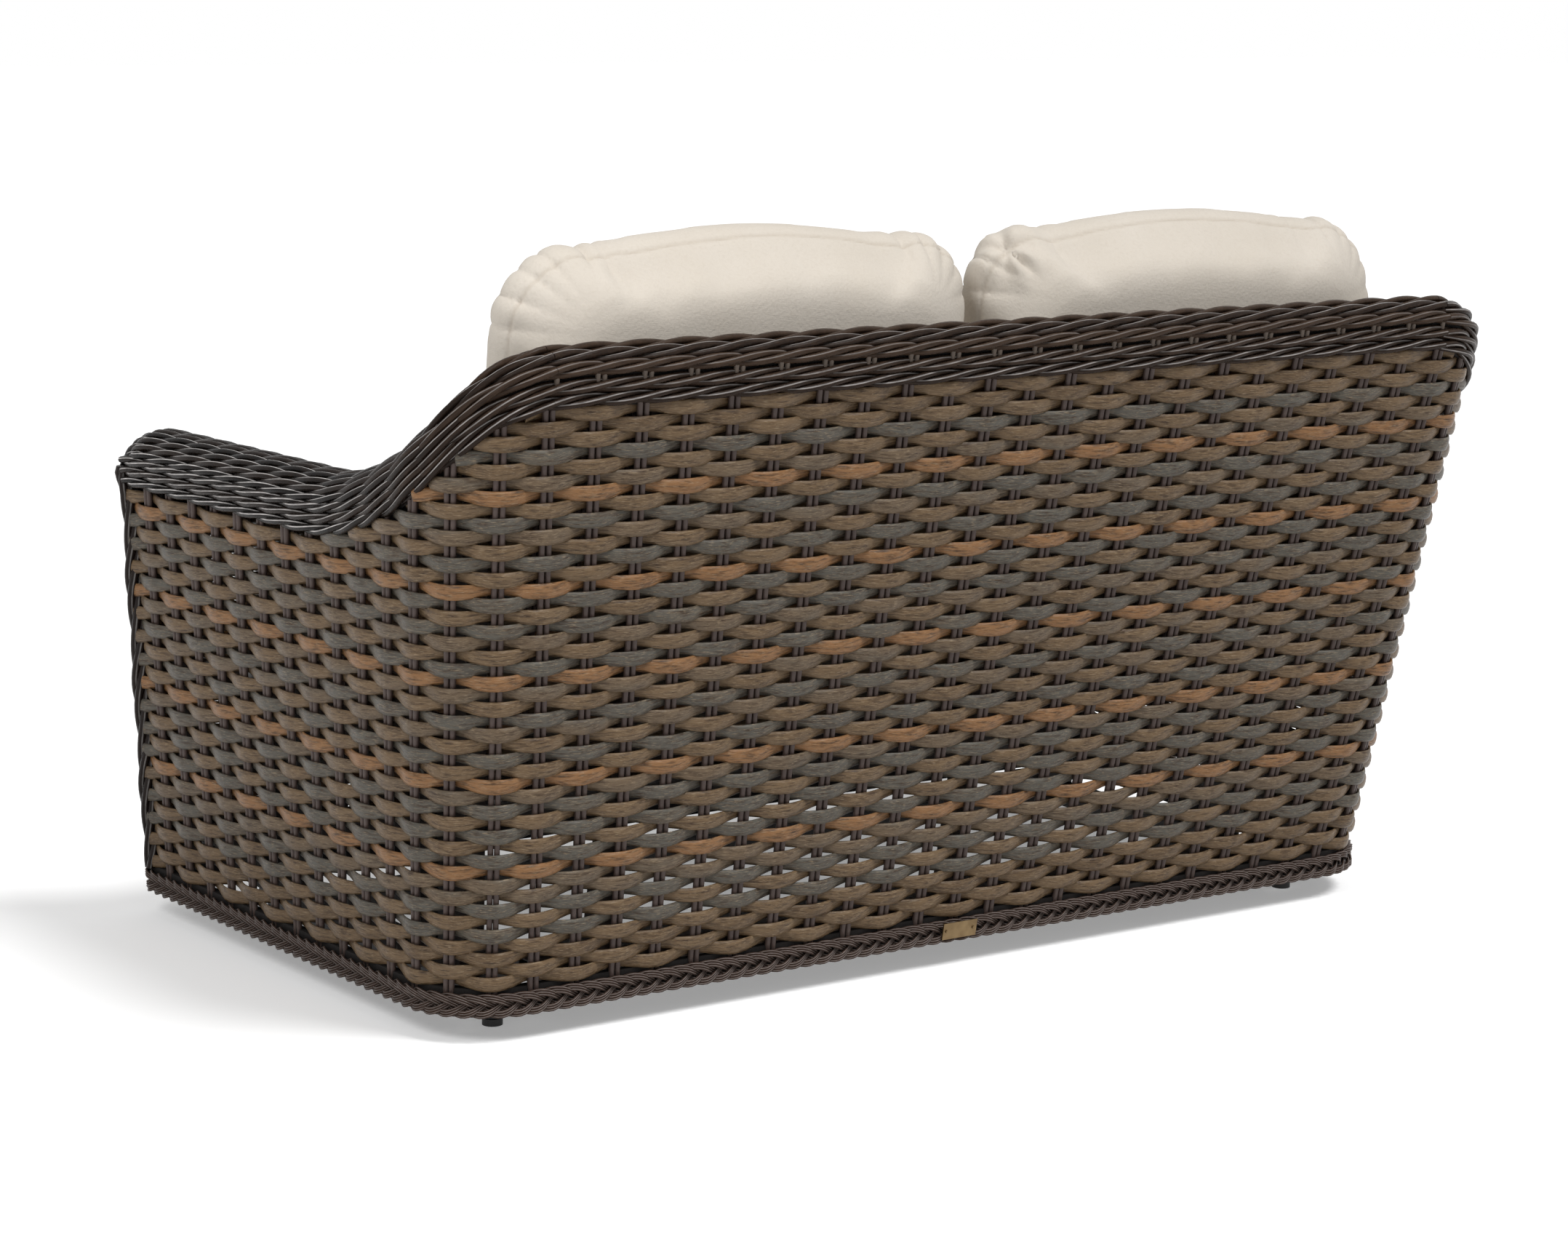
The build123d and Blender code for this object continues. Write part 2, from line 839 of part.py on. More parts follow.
def make_seat_rails():
    low, high = seat_rail_levels()
    rear_low, rear_high = rear_seat_faces()
    front_low, front_high = front_seat_faces()
    x_rear = side_point(rear_low, low, arm_width)[0]
    x_front = side_point(front_high, low, arm_width)[0] - seat_rail_gap
    rear = box_tube(-x_rear, x_rear, rear_low, rear_high, low, high, "x")
    front = box_tube(-x_front, x_front, front_low, front_high, low, high, "x")

    def side_outline_at(grow, overrun):
        def outline(height):
            near = arm_width - tube_size - grow
            far = arm_width + grow
            return [
                side_point(rear_low + overrun, low, near),
                side_point(front_high - overrun, low, near),
                side_point(front_high - overrun, low, far),
                side_point(rear_low + overrun, low, far),
            ]

        return outline

    side = hollow_rail(side_outline_at, low)
    half = tube_size / 2
    brace = box_tube(-half, half, front_high, rear_low, low, high, "y")
    return rear, front, side, brace


def make_straps():
    low = deck_height
    high = low + strap_thickness
    half = strap_width / 2
    y_low = front_seat_faces()[0] + tube_wall
    y_high = rear_line(low) - back_depth - running_gap
    reach = side_point(y_high, low, arm_width)[0] - strap_width
    pitch = 2 * reach / (strap_count - 1)
    straps = []
    for index in range(strap_count):
        x_middle = -reach + pitch * index
        straps.append(upright_box(x_middle - half, x_middle + half, y_low, y_high, low, high))
    return straps


# Base and links
def base_feet():
    """Depths of the front and rear glides."""
    return front_line(braid_top) + base_front_foot, rear_line(braid_top) - base_rear_foot


def make_base_rail():
    half = base_tube / 2
    low = glide_height
    high = low + base_tube
    front, rear = base_feet()
    return box_tube(base_place - half, base_place + half, front - half, rear + half, low, high, "y")


def make_crossbars():
    half = base_tube / 2
    low = glide_height
    high = low + base_tube
    x_end = base_place - half
    bars = []
    for y_place in link_places():
        bars.append(box_tube(-x_end, x_end, y_place - half, y_place + half, low, high, "x"))
    return bars


def make_uprights():
    """The two uprights on the left base rail, bored for the links' upper pins."""
    half = base_tube / 2
    low = glide_height + base_tube
    high = pivot_height + upright_top_margin
    x_low = base_place - half
    x_high = base_place + half
    bore = pin_diameter + 2 * fit_clearance
    uprights = []
    for y_place in link_places():
        tube = box_tube(x_low, x_high, y_place - half, y_place + half, low, high, "z")
        uprights.append(tube - cross_pin(bore, x_low - half, x_high + half, y_place, pivot_height))
    return uprights


def make_glides():
    stem_height = glide_height - glide_pad_height
    pad = Pos(0, 0, glide_pad_height / 2) * Cylinder(glide_diameter / 2, glide_pad_height)
    stem = Pos(0, 0, glide_pad_height + stem_height / 2) * Cylinder(glide_stem_diameter / 2, stem_height)
    glides = []
    for side in (-1, 1):
        for y_place in base_feet():
            glides.append(Pos(side * base_place, y_place, 0) * (pad + stem))
    return glides


def link_faces():
    """Inner and outer faces of a left link plate, and of the bush in it."""
    upright_face = base_place + base_tube / 2
    bush_inner = upright_face + shoulder_length + bush_play
    plate_inner = bush_inner + bush_flange
    plate_outer = plate_inner + link_thickness
    bush_outer = plate_outer + bush_flange
    return bush_inner, plate_inner, plate_outer, bush_outer


def make_upper_pin(y_place):
    """Pin through a left upright: head inside, shoulder, journal for the link and a cap."""
    bush_inner, plate_inner, plate_outer, bush_outer = link_faces()
    inside = base_place - base_tube / 2
    outside = base_place + base_tube / 2
    cap_start = bush_outer + bush_play
    shank = cross_pin(pin_diameter, inside - pin_head_height, cap_start, y_place, pivot_height)
    head = cross_pin(pin_head_diameter, inside - pin_head_height, inside, y_place, pivot_height)
    shoulder = cross_pin(shoulder_diameter, outside, outside + shoulder_length, y_place, pivot_height)
    cap = cross_pin(pin_head_diameter, cap_start, cap_start + pin_head_height, y_place, pivot_height)
    return shank + head + shoulder + cap


def make_lower_pin(y_place):
    """Pin in a left hanger bar: head outside, shoulder against the bar, journal and a cap."""
    bush_inner, plate_inner, plate_outer, bush_outer = link_faces()
    bar_inner = hanger_place - tube_size / 2
    bar_outer = hanger_place + tube_size / 2
    cap_start = bush_inner - bush_play
    shoulder_end = bush_outer + bush_play
    cap_height = shoulder_length - bush_play * 4
    shank = cross_pin(pin_diameter, cap_start, bar_outer + gusset_thickness, y_place, lower_rail_middle)
    head = cross_pin(pin_head_diameter, bar_outer, bar_outer + gusset_thickness, y_place, lower_rail_middle)
    shoulder = cross_pin(shoulder_diameter, shoulder_end, bar_inner, y_place, lower_rail_middle)
    cap = cross_pin(pin_head_diameter, cap_start - cap_height, cap_start, y_place, lower_rail_middle)
    return shank + head + shoulder + cap


def make_link(y_place):
    """Flat bar with round ends, bored for a bush at each pivot."""
    bush_inner, plate_inner, plate_outer, bush_outer = link_faces()
    half = link_width / 2
    levels = (lower_rail_middle, pivot_height)
    bar = upright_box(plate_inner, plate_outer, y_place - half, y_place + half, *levels)
    for height in levels:
        bar = bar + cross_pin(link_width, plate_inner, plate_outer, y_place, height)
    bore = bush_outer_diameter + 2 * fit_clearance
    for height in levels:
        bar = bar - cross_pin(bore, bush_inner, bush_outer, y_place, height)
    return bar


def make_bushes(y_place):
    """The two flanged bushes of one left link."""
    bush_inner, plate_inner, plate_outer, bush_outer = link_faces()
    bore_diameter = pin_diameter + 2 * fit_clearance
    bushes = []
    for height in (lower_rail_middle, pivot_height):
        sleeve = cross_pin(bush_outer_diameter, bush_inner, bush_outer, y_place, height)
        inner_flange = cross_pin(bush_flange_diameter, bush_inner, plate_inner, y_place, height)
        outer_flange = cross_pin(bush_flange_diameter, plate_outer, bush_outer, y_place, height)
        bore = cross_pin(bore_diameter, bush_inner - bush_flange, bush_outer + bush_flange, y_place, height)
        bushes.append(sleeve + inner_flange + outer_flange - bore)
    return bushes


# Cushions
def cushion_section(x_low, x_high, y_low, y_high, height, inset, draw, widen):
    """Level outline of a cushion: four gently drawn-in sides and round corners.

    widen moves the front end of the outer side further out."""
    corner = max(cushion_corner - inset / 2, cushion_edge_round)
    left_low = x_low + inset
    left_high = x_high - inset
    y_front = y_low + inset
    y_rear = y_high - inset
    points = [
        Vector(left_low, y_front, height),
        Vector(left_high + widen, y_front, height),
        Vector(left_high, y_rear, height),
        Vector(left_low, y_rear, height),
    ]
    centre = (points[0] + points[1] + points[2] + points[3]) / 4
    wire = []
    for index in range(4):
        here = points[index]
        there = points[(index + 1) % 4]
        along = (there - here).normalized()
        start = here + along * corner
        end = there - along * corner
        middle = (start + end) / 2
        toward = (centre - middle).normalized()
        wire.append(ThreePointArc(start, middle + toward * draw, end))
        after = (points[(index + 2) % 4] - there).normalized()
        next_start = there + after * corner
        knee = there + (after - along) * corner * (1 - cos(radians(45)))
        wire.append(ThreePointArc(end, knee, next_start))
    return make_face(wire).faces()[0]


def make_cushion(x_low, x_high, y_low, y_high, low, thickness, widen):
    """Box cushion with soft edges, drawn-in sides and a crowned top and underside."""
    half_short = min(x_high - x_low, y_high - y_low) / 2
    half = thickness / 2
    upper = list(zip(cushion_rise_shares, cushion_inset_shares))
    lower = [(-rise, inset) for rise, inset in reversed(upper[1:])]
    sections = []
    for rise, inset in lower + upper:
        draw = side_draw * (1 - abs(rise) / 2)
        height = low + half + half * rise
        sections.append(
            cushion_section(x_low, x_high, y_low, y_high, height, half_short * inset, draw, widen)
        )
    return loft(sections, ruled=True)


def make_seat_cushion():
    low = wall_foot
    y_front = front_line(deck_height) + seat_cushion_front
    y_rear = rear_line(deck_height) - back_depth - running_gap
    x_low = cushion_gap / 2
    x_rear = side_point(y_rear, deck_height, arm_width)[0] - cushion_clearance
    x_front = side_point(y_front, deck_height, arm_width)[0] - cushion_clearance
    return make_cushion(x_low, x_rear, y_front, y_rear, low, seat_cushion_thickness, x_front - x_rear)


def settled(solid, toward, neighbour):
    """The solid moved along one direction until it lies just clear of its neighbour."""
    for step in range(settle_steps):
        room = solid.distance_to(neighbour) - running_gap
        if room < running_gap / 2:
            break
        solid = Pos(*(toward * room)) * solid
    return solid


def make_back_cushion(below, behind):
    """Left back cushion, made lying down, stood up and settled between seat and back."""
    x_low = cushion_gap / 2
    x_high = x_low + back_cushion_width
    flat = make_cushion(x_low, x_high, 0, back_cushion_height, 0, back_cushion_thickness, 0)
    foot = wall_foot + seat_cushion_thickness
    y_rear = rear_line(foot) - back_depth - 2 * running_gap
    stood = Pos(0, y_rear, foot) * Rot(90 - back_cushion_lean, 0, 0) * flat
    for turn in range(settle_turns):
        stood = settled(stood, Vector(0, 0, -1), below)
        stood = settled(stood, Vector(0, 1, 0), behind)
    return stood


os.makedirs("parts", exist_ok=True)

corner_roll = make_corner_roll()
other_corner_roll = mirrored(corner_roll)
trim_ropes, trim_cutters = make_trims()
side_wall = block(side_outline, braid_top, arm_top - running_gap)
arm_front = block(arm_front_outline, braid_top, arm_top - running_gap)
arm_inner = block(arm_inner_outline, wall_foot, arm_top - running_gap)
for cutter in trim_cutters:
    side_wall = side_wall - cutter
    arm_front = arm_front - cutter
    arm_inner = arm_inner - cutter
arm_front = max(arm_front.solids(), key=lambda solid: solid.volume)
side_wall = max(side_wall.solids(), key=lambda solid: solid.volume)
arm_inner = max(arm_inner.solids(), key=lambda solid: solid.volume)
corner_wall = make_woven_corner(corner_roll)
arm_roll = make_arm_roll()

save("woven_back", make_woven_back())
save("woven_left_corner", corner_wall)
save("woven_right_corner", mirrored(corner_wall))
save("woven_left_side", side_wall)
save("woven_right_side", mirrored(side_wall))
save("left_arm_front", arm_front)
save("right_arm_front", mirrored(arm_front))
save("left_arm_inner", arm_inner)
save("right_arm_inner", mirrored(arm_inner))
inner_back = make_inner_back((corner_roll, other_corner_roll))
save("inner_back", inner_back)
save("front_apron", make_apron())
save("left_front_trim", joined(trim_ropes))
save("right_front_trim", joined(mirrored(rope) for rope in trim_ropes))

save("back_roll", make_back_roll())
save("left_corner_roll", corner_roll)
save("right_corner_roll", other_corner_roll)
save("left_arm_roll", arm_roll)
save("right_arm_roll", mirrored(arm_roll))

for braid_name, braid_length in part_braid(rounded_ring(make_braid_ring())).items():
    save(braid_name, braid_length)
name_plate, plate_nails = make_name_plate()
save("name_plate", name_plate)
save("plate_nails", plate_nails)

lower_rear_rail, lower_front_rail = make_lower_rails()
save("lower_rear_rail", lower_rear_rail)
save("lower_front_rail", lower_front_rail)
hanger_bar = make_hanger_bar()
save("hanger_bars", joined([hanger_bar, mirrored(hanger_bar)]))
gusset = make_gusset()
save("rear_gussets", joined([gusset, mirrored(gusset)]))
save("back_posts", joined(make_back_posts()))
corner_post = make_corner_post()
save("corner_posts", joined([corner_post, mirrored(corner_post)]))
front_post = make_front_post()
save("front_posts", joined([front_post, mirrored(front_post)]))
rear_seat_rail, front_seat_rail, side_seat_rail, seat_brace = make_seat_rails()
save("rear_seat_rail", rear_seat_rail)
save("front_seat_rail", front_seat_rail)
save("side_seat_rails", joined([side_seat_rail, mirrored(side_seat_rail)]))
save("centre_seat_brace", seat_brace)
save("seat_straps", joined(make_straps()))
save("back_top_rail", make_back_top_rail())
arm_rail = make_arm_rail()
save("arm_rails", joined([arm_rail, mirrored(arm_rail)]))

base_rail = make_base_rail()
save("base_left_rail", base_rail)
save("base_right_rail", mirrored(base_rail))
save("base_crossbars", joined(make_crossbars()))
uprights = make_uprights()
save("base_left_uprights", joined(uprights))
save("base_right_uprights", joined(mirrored(upright) for upright in uprights))
save("floor_glides", joined(make_glides()))

upper_pins = []
lower_pins = []
for end, place in zip(("front", "rear"), link_places()):
    link = make_link(place)
    bushes = make_bushes(place)
    save("left_" + end + "_link", link)
    save("right_" + end + "_link", mirrored(link))
    save("left_" + end + "_bushes", joined(bushes))
    save("right_" + end + "_bushes", joined(mirrored(bush) for bush in bushes))
    upper_pins.append(make_upper_pin(place))
    lower_pins.append(make_lower_pin(place))
save("upper_pins", joined(upper_pins + [mirrored(pin) for pin in upper_pins]))
save("lower_pins", joined(lower_pins + [mirrored(pin) for pin in lower_pins]))

seat_cushion = make_seat_cushion()
save("left_seat_cushion", seat_cushion)
save("right_seat_cushion", mirrored(seat_cushion))
back_cushion = make_back_cushion(seat_cushion, inner_back)
save("left_back_cushion", back_cushion)
save("right_back_cushion", mirrored(back_cushion))
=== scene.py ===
# %% [markdown]
# # A woven double glider
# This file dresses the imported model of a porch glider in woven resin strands, wrapped rolls,
# a plaited band and four plump cushions. Sizes are in metres, X runs across the seat, the
# front faces minus Y and the back plus Y. The frame comes first: it is fixed, and every
# piece made here is placed by the same sizes that made it.

# %% Load the frame
import bpy
import bmesh
import json
import random
from math import atan, atan2, ceil, cos, floor, pi, radians, sin, sqrt, tan
from mathutils import Matrix, Vector, noise


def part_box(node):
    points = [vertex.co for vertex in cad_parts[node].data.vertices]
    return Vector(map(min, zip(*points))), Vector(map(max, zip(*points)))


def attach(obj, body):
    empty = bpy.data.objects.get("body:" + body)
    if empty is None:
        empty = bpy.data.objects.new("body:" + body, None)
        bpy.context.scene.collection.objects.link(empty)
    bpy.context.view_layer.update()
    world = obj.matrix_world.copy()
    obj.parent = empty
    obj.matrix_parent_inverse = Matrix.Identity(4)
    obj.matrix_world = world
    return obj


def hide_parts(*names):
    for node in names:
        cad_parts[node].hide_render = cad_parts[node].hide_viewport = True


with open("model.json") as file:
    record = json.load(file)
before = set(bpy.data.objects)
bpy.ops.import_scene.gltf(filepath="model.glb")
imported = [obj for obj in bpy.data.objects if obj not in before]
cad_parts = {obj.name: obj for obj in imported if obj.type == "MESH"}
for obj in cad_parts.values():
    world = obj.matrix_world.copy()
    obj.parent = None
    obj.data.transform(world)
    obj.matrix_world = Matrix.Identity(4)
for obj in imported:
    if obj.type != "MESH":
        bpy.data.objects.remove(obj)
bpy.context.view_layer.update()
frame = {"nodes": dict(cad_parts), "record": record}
nodes = frame["nodes"]

# %% [markdown]
# ## The body's shape
# The walls lean outwards, and the plan has round rear corners. A place on the wall is given
# by its run, which is the distance from the middle of the back round the corner to the
# front, by its height, and by how far inside the outer face it lies.

# %% Sizes of the body
HALF_WIDTH, SIDE_LENGTH, CORNER_RADIUS, SPLAY_WIDTH = 0.696, 0.735, 0.102, 0.037
REAR_PLACE = 0.3044
LEAN_HEIGHT, SIDE_LEAN, BACK_LEAN, FRONT_LEAN, CORNER_GROWTH = 0.700, 0.068, 0.133, 0.086, 0.010
BRAID_TOP, BACK_TOP, ARM_TOP, DECK = 0.065, 0.730, 0.559, 0.330
SKIN, BACK_DEPTH, ARM_WIDTH = 0.014, 0.060, 0.100
SPLAY = atan(SPLAY_WIDTH / SIDE_LENGTH)
SETBACK = (1 - sin(SPLAY)) / cos(SPLAY)
STRAIGHT_HALF = HALF_WIDTH - CORNER_RADIUS * SETBACK
CORNER_TURN = pi / 2 - SPLAY
CORNER_RUN = CORNER_RADIUS * CORNER_TURN
BEND_END = STRAIGHT_HALF + CORNER_RUN
FRONT_END = BEND_END + (SIDE_LENGTH - CORNER_RADIUS * (1 - sin(SPLAY))) / cos(SPLAY)
SWOOP_START = STRAIGHT_HALF - 0.0105
SWOOP_END = BEND_END + 0.182
SWOOP_PLACES = [0, 0.10, 0.21, 0.295, 0.378, 0.488, 0.60, 0.72, 0.868, 1]
SWOOP_DROPS = [0, 0.04, 0.158, 0.327, 0.497, 0.637, 0.754, 0.86, 0.953, 1]
SWOOP_SMOOTHING = 0.03
UP = Vector((0, 0, 1))
SIDES = ((1, "left"), (-1, "right"))
print("run to the front post", round(FRONT_END, 4))

# %% Small helpers
def clamped(value):
    """A share kept between none and all."""
    return min(max(value, 0), 1)


def spread(first, last, count):
    """Even steps from first to last, with both of them."""
    return [first + (last - first) * index / count for index in range(count + 1)]


def mirrored(point):
    return Vector((-point.x, point.y, point.z))


def in_scene(name, data):
    """A new object made of some data."""
    made = bpy.data.objects.new(name, data)
    bpy.context.scene.collection.objects.link(made)
    return made


print("sides", [side for sign, side in SIDES])

# %% Places on the walls
def lean_share(height):
    return (height - BRAID_TOP) / LEAN_HEIGHT


def rear_line(height):
    return REAR_PLACE + BACK_LEAN * lean_share(height)


def front_line(height):
    return REAR_PLACE - SIDE_LENGTH + FRONT_LEAN * lean_share(height)


def bend_radius(height):
    return CORNER_RADIUS + CORNER_GROWTH * lean_share(height)


def straight_at(height):
    return HALF_WIDTH + SIDE_LEAN * lean_share(height) - bend_radius(height) * SETBACK


def side_start(height):
    reach = bend_radius(height)
    rear = rear_line(height) - reach + reach * sin(SPLAY)
    return straight_at(height) + reach * cos(SPLAY), rear


def side_point(y_place, height, inset):
    """A place on the left side at one depth."""
    start_x, start_y = side_start(height)
    return start_x + (start_y - y_place) * tan(SPLAY) - inset / cos(SPLAY), y_place


def wall_place(run, height, inset):
    """A place on the wall. Runs below zero are on the right."""
    reach = abs(run)
    if reach <= STRAIGHT_HALF:
        x, y = reach * straight_at(height) / STRAIGHT_HALF, rear_line(height) - inset
    elif reach <= BEND_END:
        angle = pi / 2 - (reach - STRAIGHT_HALF) / CORNER_RADIUS
        radius = bend_radius(height)
        x = straight_at(height) + (radius - inset) * cos(angle)
        y = rear_line(height) - radius + (radius - inset) * sin(angle)
    else:
        start_x, start_y = side_start(height)
        share = (reach - BEND_END) / (FRONT_END - BEND_END)
        y_wall = start_y + (front_line(height) - start_y) * share
        x = start_x + (start_y - y_wall) * tan(SPLAY) - inset * cos(SPLAY)
        y = y_wall - inset * sin(SPLAY)
    return Vector((x if run >= 0 else -x, y, height))


def level_inward(run):
    """Level direction from outside to inside at a run."""
    turn = min(max((abs(run) - STRAIGHT_HALF) / CORNER_RADIUS, 0), CORNER_TURN)
    return Vector((-sin(turn) if run >= 0 else sin(turn), -cos(turn), 0))


def outward(run, height):
    """Direction that points straight out of the leaning wall."""
    up = (wall_place(run, height + 0.1, 0) - wall_place(run, height, 0)).normalized()
    level = -level_inward(run)
    return (level - up * level.dot(up)).normalized()


def swoop_drop(share):
    """Share of the drop from the back to the arm, along straight lines between its places."""
    share = clamped(share)
    for index in range(len(SWOOP_PLACES) - 1):
        if share <= SWOOP_PLACES[index + 1]:
            low, high = SWOOP_PLACES[index], SWOOP_PLACES[index + 1]
            part = (share - low) / (high - low)
            return SWOOP_DROPS[index] + (SWOOP_DROPS[index + 1] - SWOOP_DROPS[index]) * part
    return 1


def swoop_share(run):
    """How far along the sweep a run lies: below 0 before it, and over 1 past it."""
    return (abs(run) - SWOOP_START) / (SWOOP_END - SWOOP_START)


def swoop_height(run):
    """Height of the underside of the wrapped rolls, with the corners of its line smoothed."""
    share = swoop_share(run)
    drops = [swoop_drop(share + step * SWOOP_SMOOTHING) for step in range(-3, 4)]
    return BACK_TOP - (BACK_TOP - ARM_TOP) * sum(drops) / len(drops)


print("corner at the arm's height", [round(v, 3) for v in wall_place(BEND_END, ARM_TOP, 0)])

# %% [markdown]
# ## Shader sums as plain Python
# A material is a small network of nodes. Writing it as sums, such as `1 - mask * 0.4`,
# is much easier to read, so one class wraps a socket and turns Python's operators into
# Math nodes, and one method adds any other node.

# %% A graph of nodes and its terms
class Term:
    """One value of a node graph that can be used in a sum."""

    def __init__(self, graph, socket):
        self.graph, self.socket = graph, socket

    def math(self, operation, *values):
        return self.graph.node("ShaderNodeMath", {"operation": operation}, *values)

    def __add__(self, other):
        return self.math("ADD", self, other)

    def __sub__(self, other):
        return self.math("SUBTRACT", self, other)

    def __rsub__(self, other):
        return self.math("SUBTRACT", other, self)

    def __mul__(self, other):
        return self.math("MULTIPLY", self, other)

    def __truediv__(self, other):
        return self.math("DIVIDE", self, other)

    def __mod__(self, other):
        return self.math("FLOORED_MODULO", self, other)

    def __pow__(self, other):
        return self.math("POWER", self, other)

    __radd__, __rmul__ = __add__, __mul__

    def least(self, other):
        return self.math("MINIMUM", self, other)

    def most(self, other):
        return self.math("MAXIMUM", self, other)

    def sine(self):
        return self.math("SINE", self)

    def cosine(self):
        return self.math("COSINE", self)

    def floor(self):
        return self.math("FLOOR", self)

    def limited(self):
        return self.most(0.0).least(1.0)

    def part(self, name):
        """Another output of the node that this value comes from."""
        return Term(self.graph, self.socket.node.outputs[name])


class Graph:
    """A node tree with one way to add a node."""

    def __init__(self, tree):
        self.tree = tree

    def node(self, kind, settings=None, *values, **named):
        """Adds a node: its settings first, then its sockets in order or by name."""
        made = self.tree.nodes.new(kind)
        for key, setting in (settings or {}).items():
            setattr(made, key, setting)
        pairs = list(enumerate(values))
        pairs += [(key.replace("_", " "), value) for key, value in named.items()]
        for key, value in pairs:
            if value is None:
                continue
            socket = made.inputs[key]
            if isinstance(value, Term):
                self.tree.links.new(value.socket, socket)
            else:
                socket.default_value = value
        return Term(self, made.outputs[0]) if made.outputs else made


MIX_INPUTS, MIX_OUTPUT = (0, 6, 7), 2


def mixed(graph, factor, first, second):
    """Colour between two colours."""
    made = graph.node("ShaderNodeMix", {"data_type": "RGBA"}).socket.node
    for index, value in zip(MIX_INPUTS, (factor, first, second)):
        if isinstance(value, Term):
            graph.tree.links.new(value.socket, made.inputs[index])
        else:
            made.inputs[index].default_value = value
    return Term(graph, made.outputs[MIX_OUTPUT])


print("helpers ready")

# %% [markdown]
# ## Colours
# Screen colours are not linear, and Blender's shaders are. A helper turns the numbers read
# on a colour chart, from 0 to 255, into the linear values that the shader needs.

# %% Colours and the start of a material
def paint(red, green, blue):
    """Linear colour of a screen colour."""
    linear = []
    for value in (red, green, blue):
        share = value / 255
        linear.append(share / 12.92 if share <= 0.04045 else ((share + 0.055) / 1.055) ** 2.4)
    return (*linear, 1.0)


def new_finish(name):
    """An empty material and its graph."""
    material = bpy.data.materials.new(name)
    material.use_nodes = True
    material.node_tree.nodes.clear()
    return material, Graph(material.node_tree)


def surface(graph, colour, roughness, bump=None, bump_depth=0.0005, **constants):
    """Ends a material: one Principled shader with its colour, roughness and relief."""
    shade = graph.node("ShaderNodeBsdfPrincipled", None, Base_Color=colour, Roughness=roughness)
    made = shade.socket.node
    for key, value in constants.items():
        made.inputs[key.replace("_", " ")].default_value = value
    if bump is not None:
        relief = graph.node("ShaderNodeBump", None, Height=bump, Distance=bump_depth)
        graph.tree.links.new(relief.socket, made.inputs["Normal"])
    graph.node("ShaderNodeOutputMaterial", None, Surface=shade)


def ramp(graph, factor, stops):
    """Colour ramp through (place, colour) stops."""
    term = graph.node("ShaderNodeValToRGB", None, factor)
    band = term.socket.node.color_ramp
    while len(band.elements) < len(stops):
        band.elements.new(0.5)
    for element, (place, colour) in zip(band.elements, stops):
        element.position, element.color = place, colour
    return term


def carried(graph, name):
    """A number that the strand or the cloth carries from point to point."""
    return graph.node("ShaderNodeAttribute", {"attribute_name": name}).part("Fac")


def object_place(graph):
    return graph.node("ShaderNodeTexCoord").part("Object")


def noisy(graph, place, scale, detail):
    return graph.node("ShaderNodeTexNoise", None, Vector=place, Scale=scale, Detail=detail)


print("white in linear light", paint(255, 255, 255))

# %% [markdown]
# ## Woven resin strands
# The walls are woven from flat, slightly domed strands of tinted resin. Each row keeps one
# tone, and the tones wander between brown, taupe, grey and now and then a copper that looks
# like wood. Along every strand run fine streaks. The pattern reads the strand's own
# attributes, its length and the place across it, so the streaks follow each bend.

# %% Strand, cane and stake finishes
ROW_SEED = 3.7
# Where the painted highlight lies across each wrapped cane, and how wide it is.
HIGHLIGHT_PLACE, HIGHLIGHT_REACH = 0.33, 0.22


def along_strand(graph, stretch, fineness, seed):
    """Streaks that follow a strand."""
    length, across, row = (carried(graph, name) for name in ("stake", "across", "row"))
    place = graph.node(
        "ShaderNodeCombineXYZ", None, length * stretch, across * fineness, row * ROW_SEED + seed
    )
    return graph.node(
        "ShaderNodeTexNoise", {"noise_dimensions": "3D"}, Vector=place, Scale=1.0, Detail=3.0,
        Roughness=0.6,
    )


def strand_finish():
    material, graph = new_finish("woven_strand")
    tone = carried(graph, "tone")
    streak = along_strand(graph, 3.2, 3.4, 0.0)
    fine = along_strand(graph, 7.0, 11.0, 5.0)
    slow = along_strand(graph, 0.45, 0.3, 8.0)
    plain = (0.75 - tone).most(0.0).least(0.2) * 5.0
    shade = tone + (streak - 0.5) * 0.10 + (slow - 0.5) * 0.5 * plain
    base = ramp(graph, shade, [
        (0.00, paint(88, 70, 50)), (0.22, paint(106, 86, 63)), (0.42, paint(98, 83, 66)),
        (0.60, paint(82, 79, 72)), (0.74, paint(86, 80, 72)), (0.90, paint(132, 96, 63)),
    ])
    dark = mixed(graph, (streak * 3.6 - 0.95).limited(), paint(52, 37, 25), base)
    light = ((fine - 0.54) * 7.0).limited() * 0.45
    colour = mixed(graph, light, dark, paint(164, 145, 119))
    roughness = 0.26 + fine * 0.2
    surface(graph, colour, roughness, streak * 0.8 + fine * 0.6, 0.0007, Specular_IOR_Level=0.2)
    return material


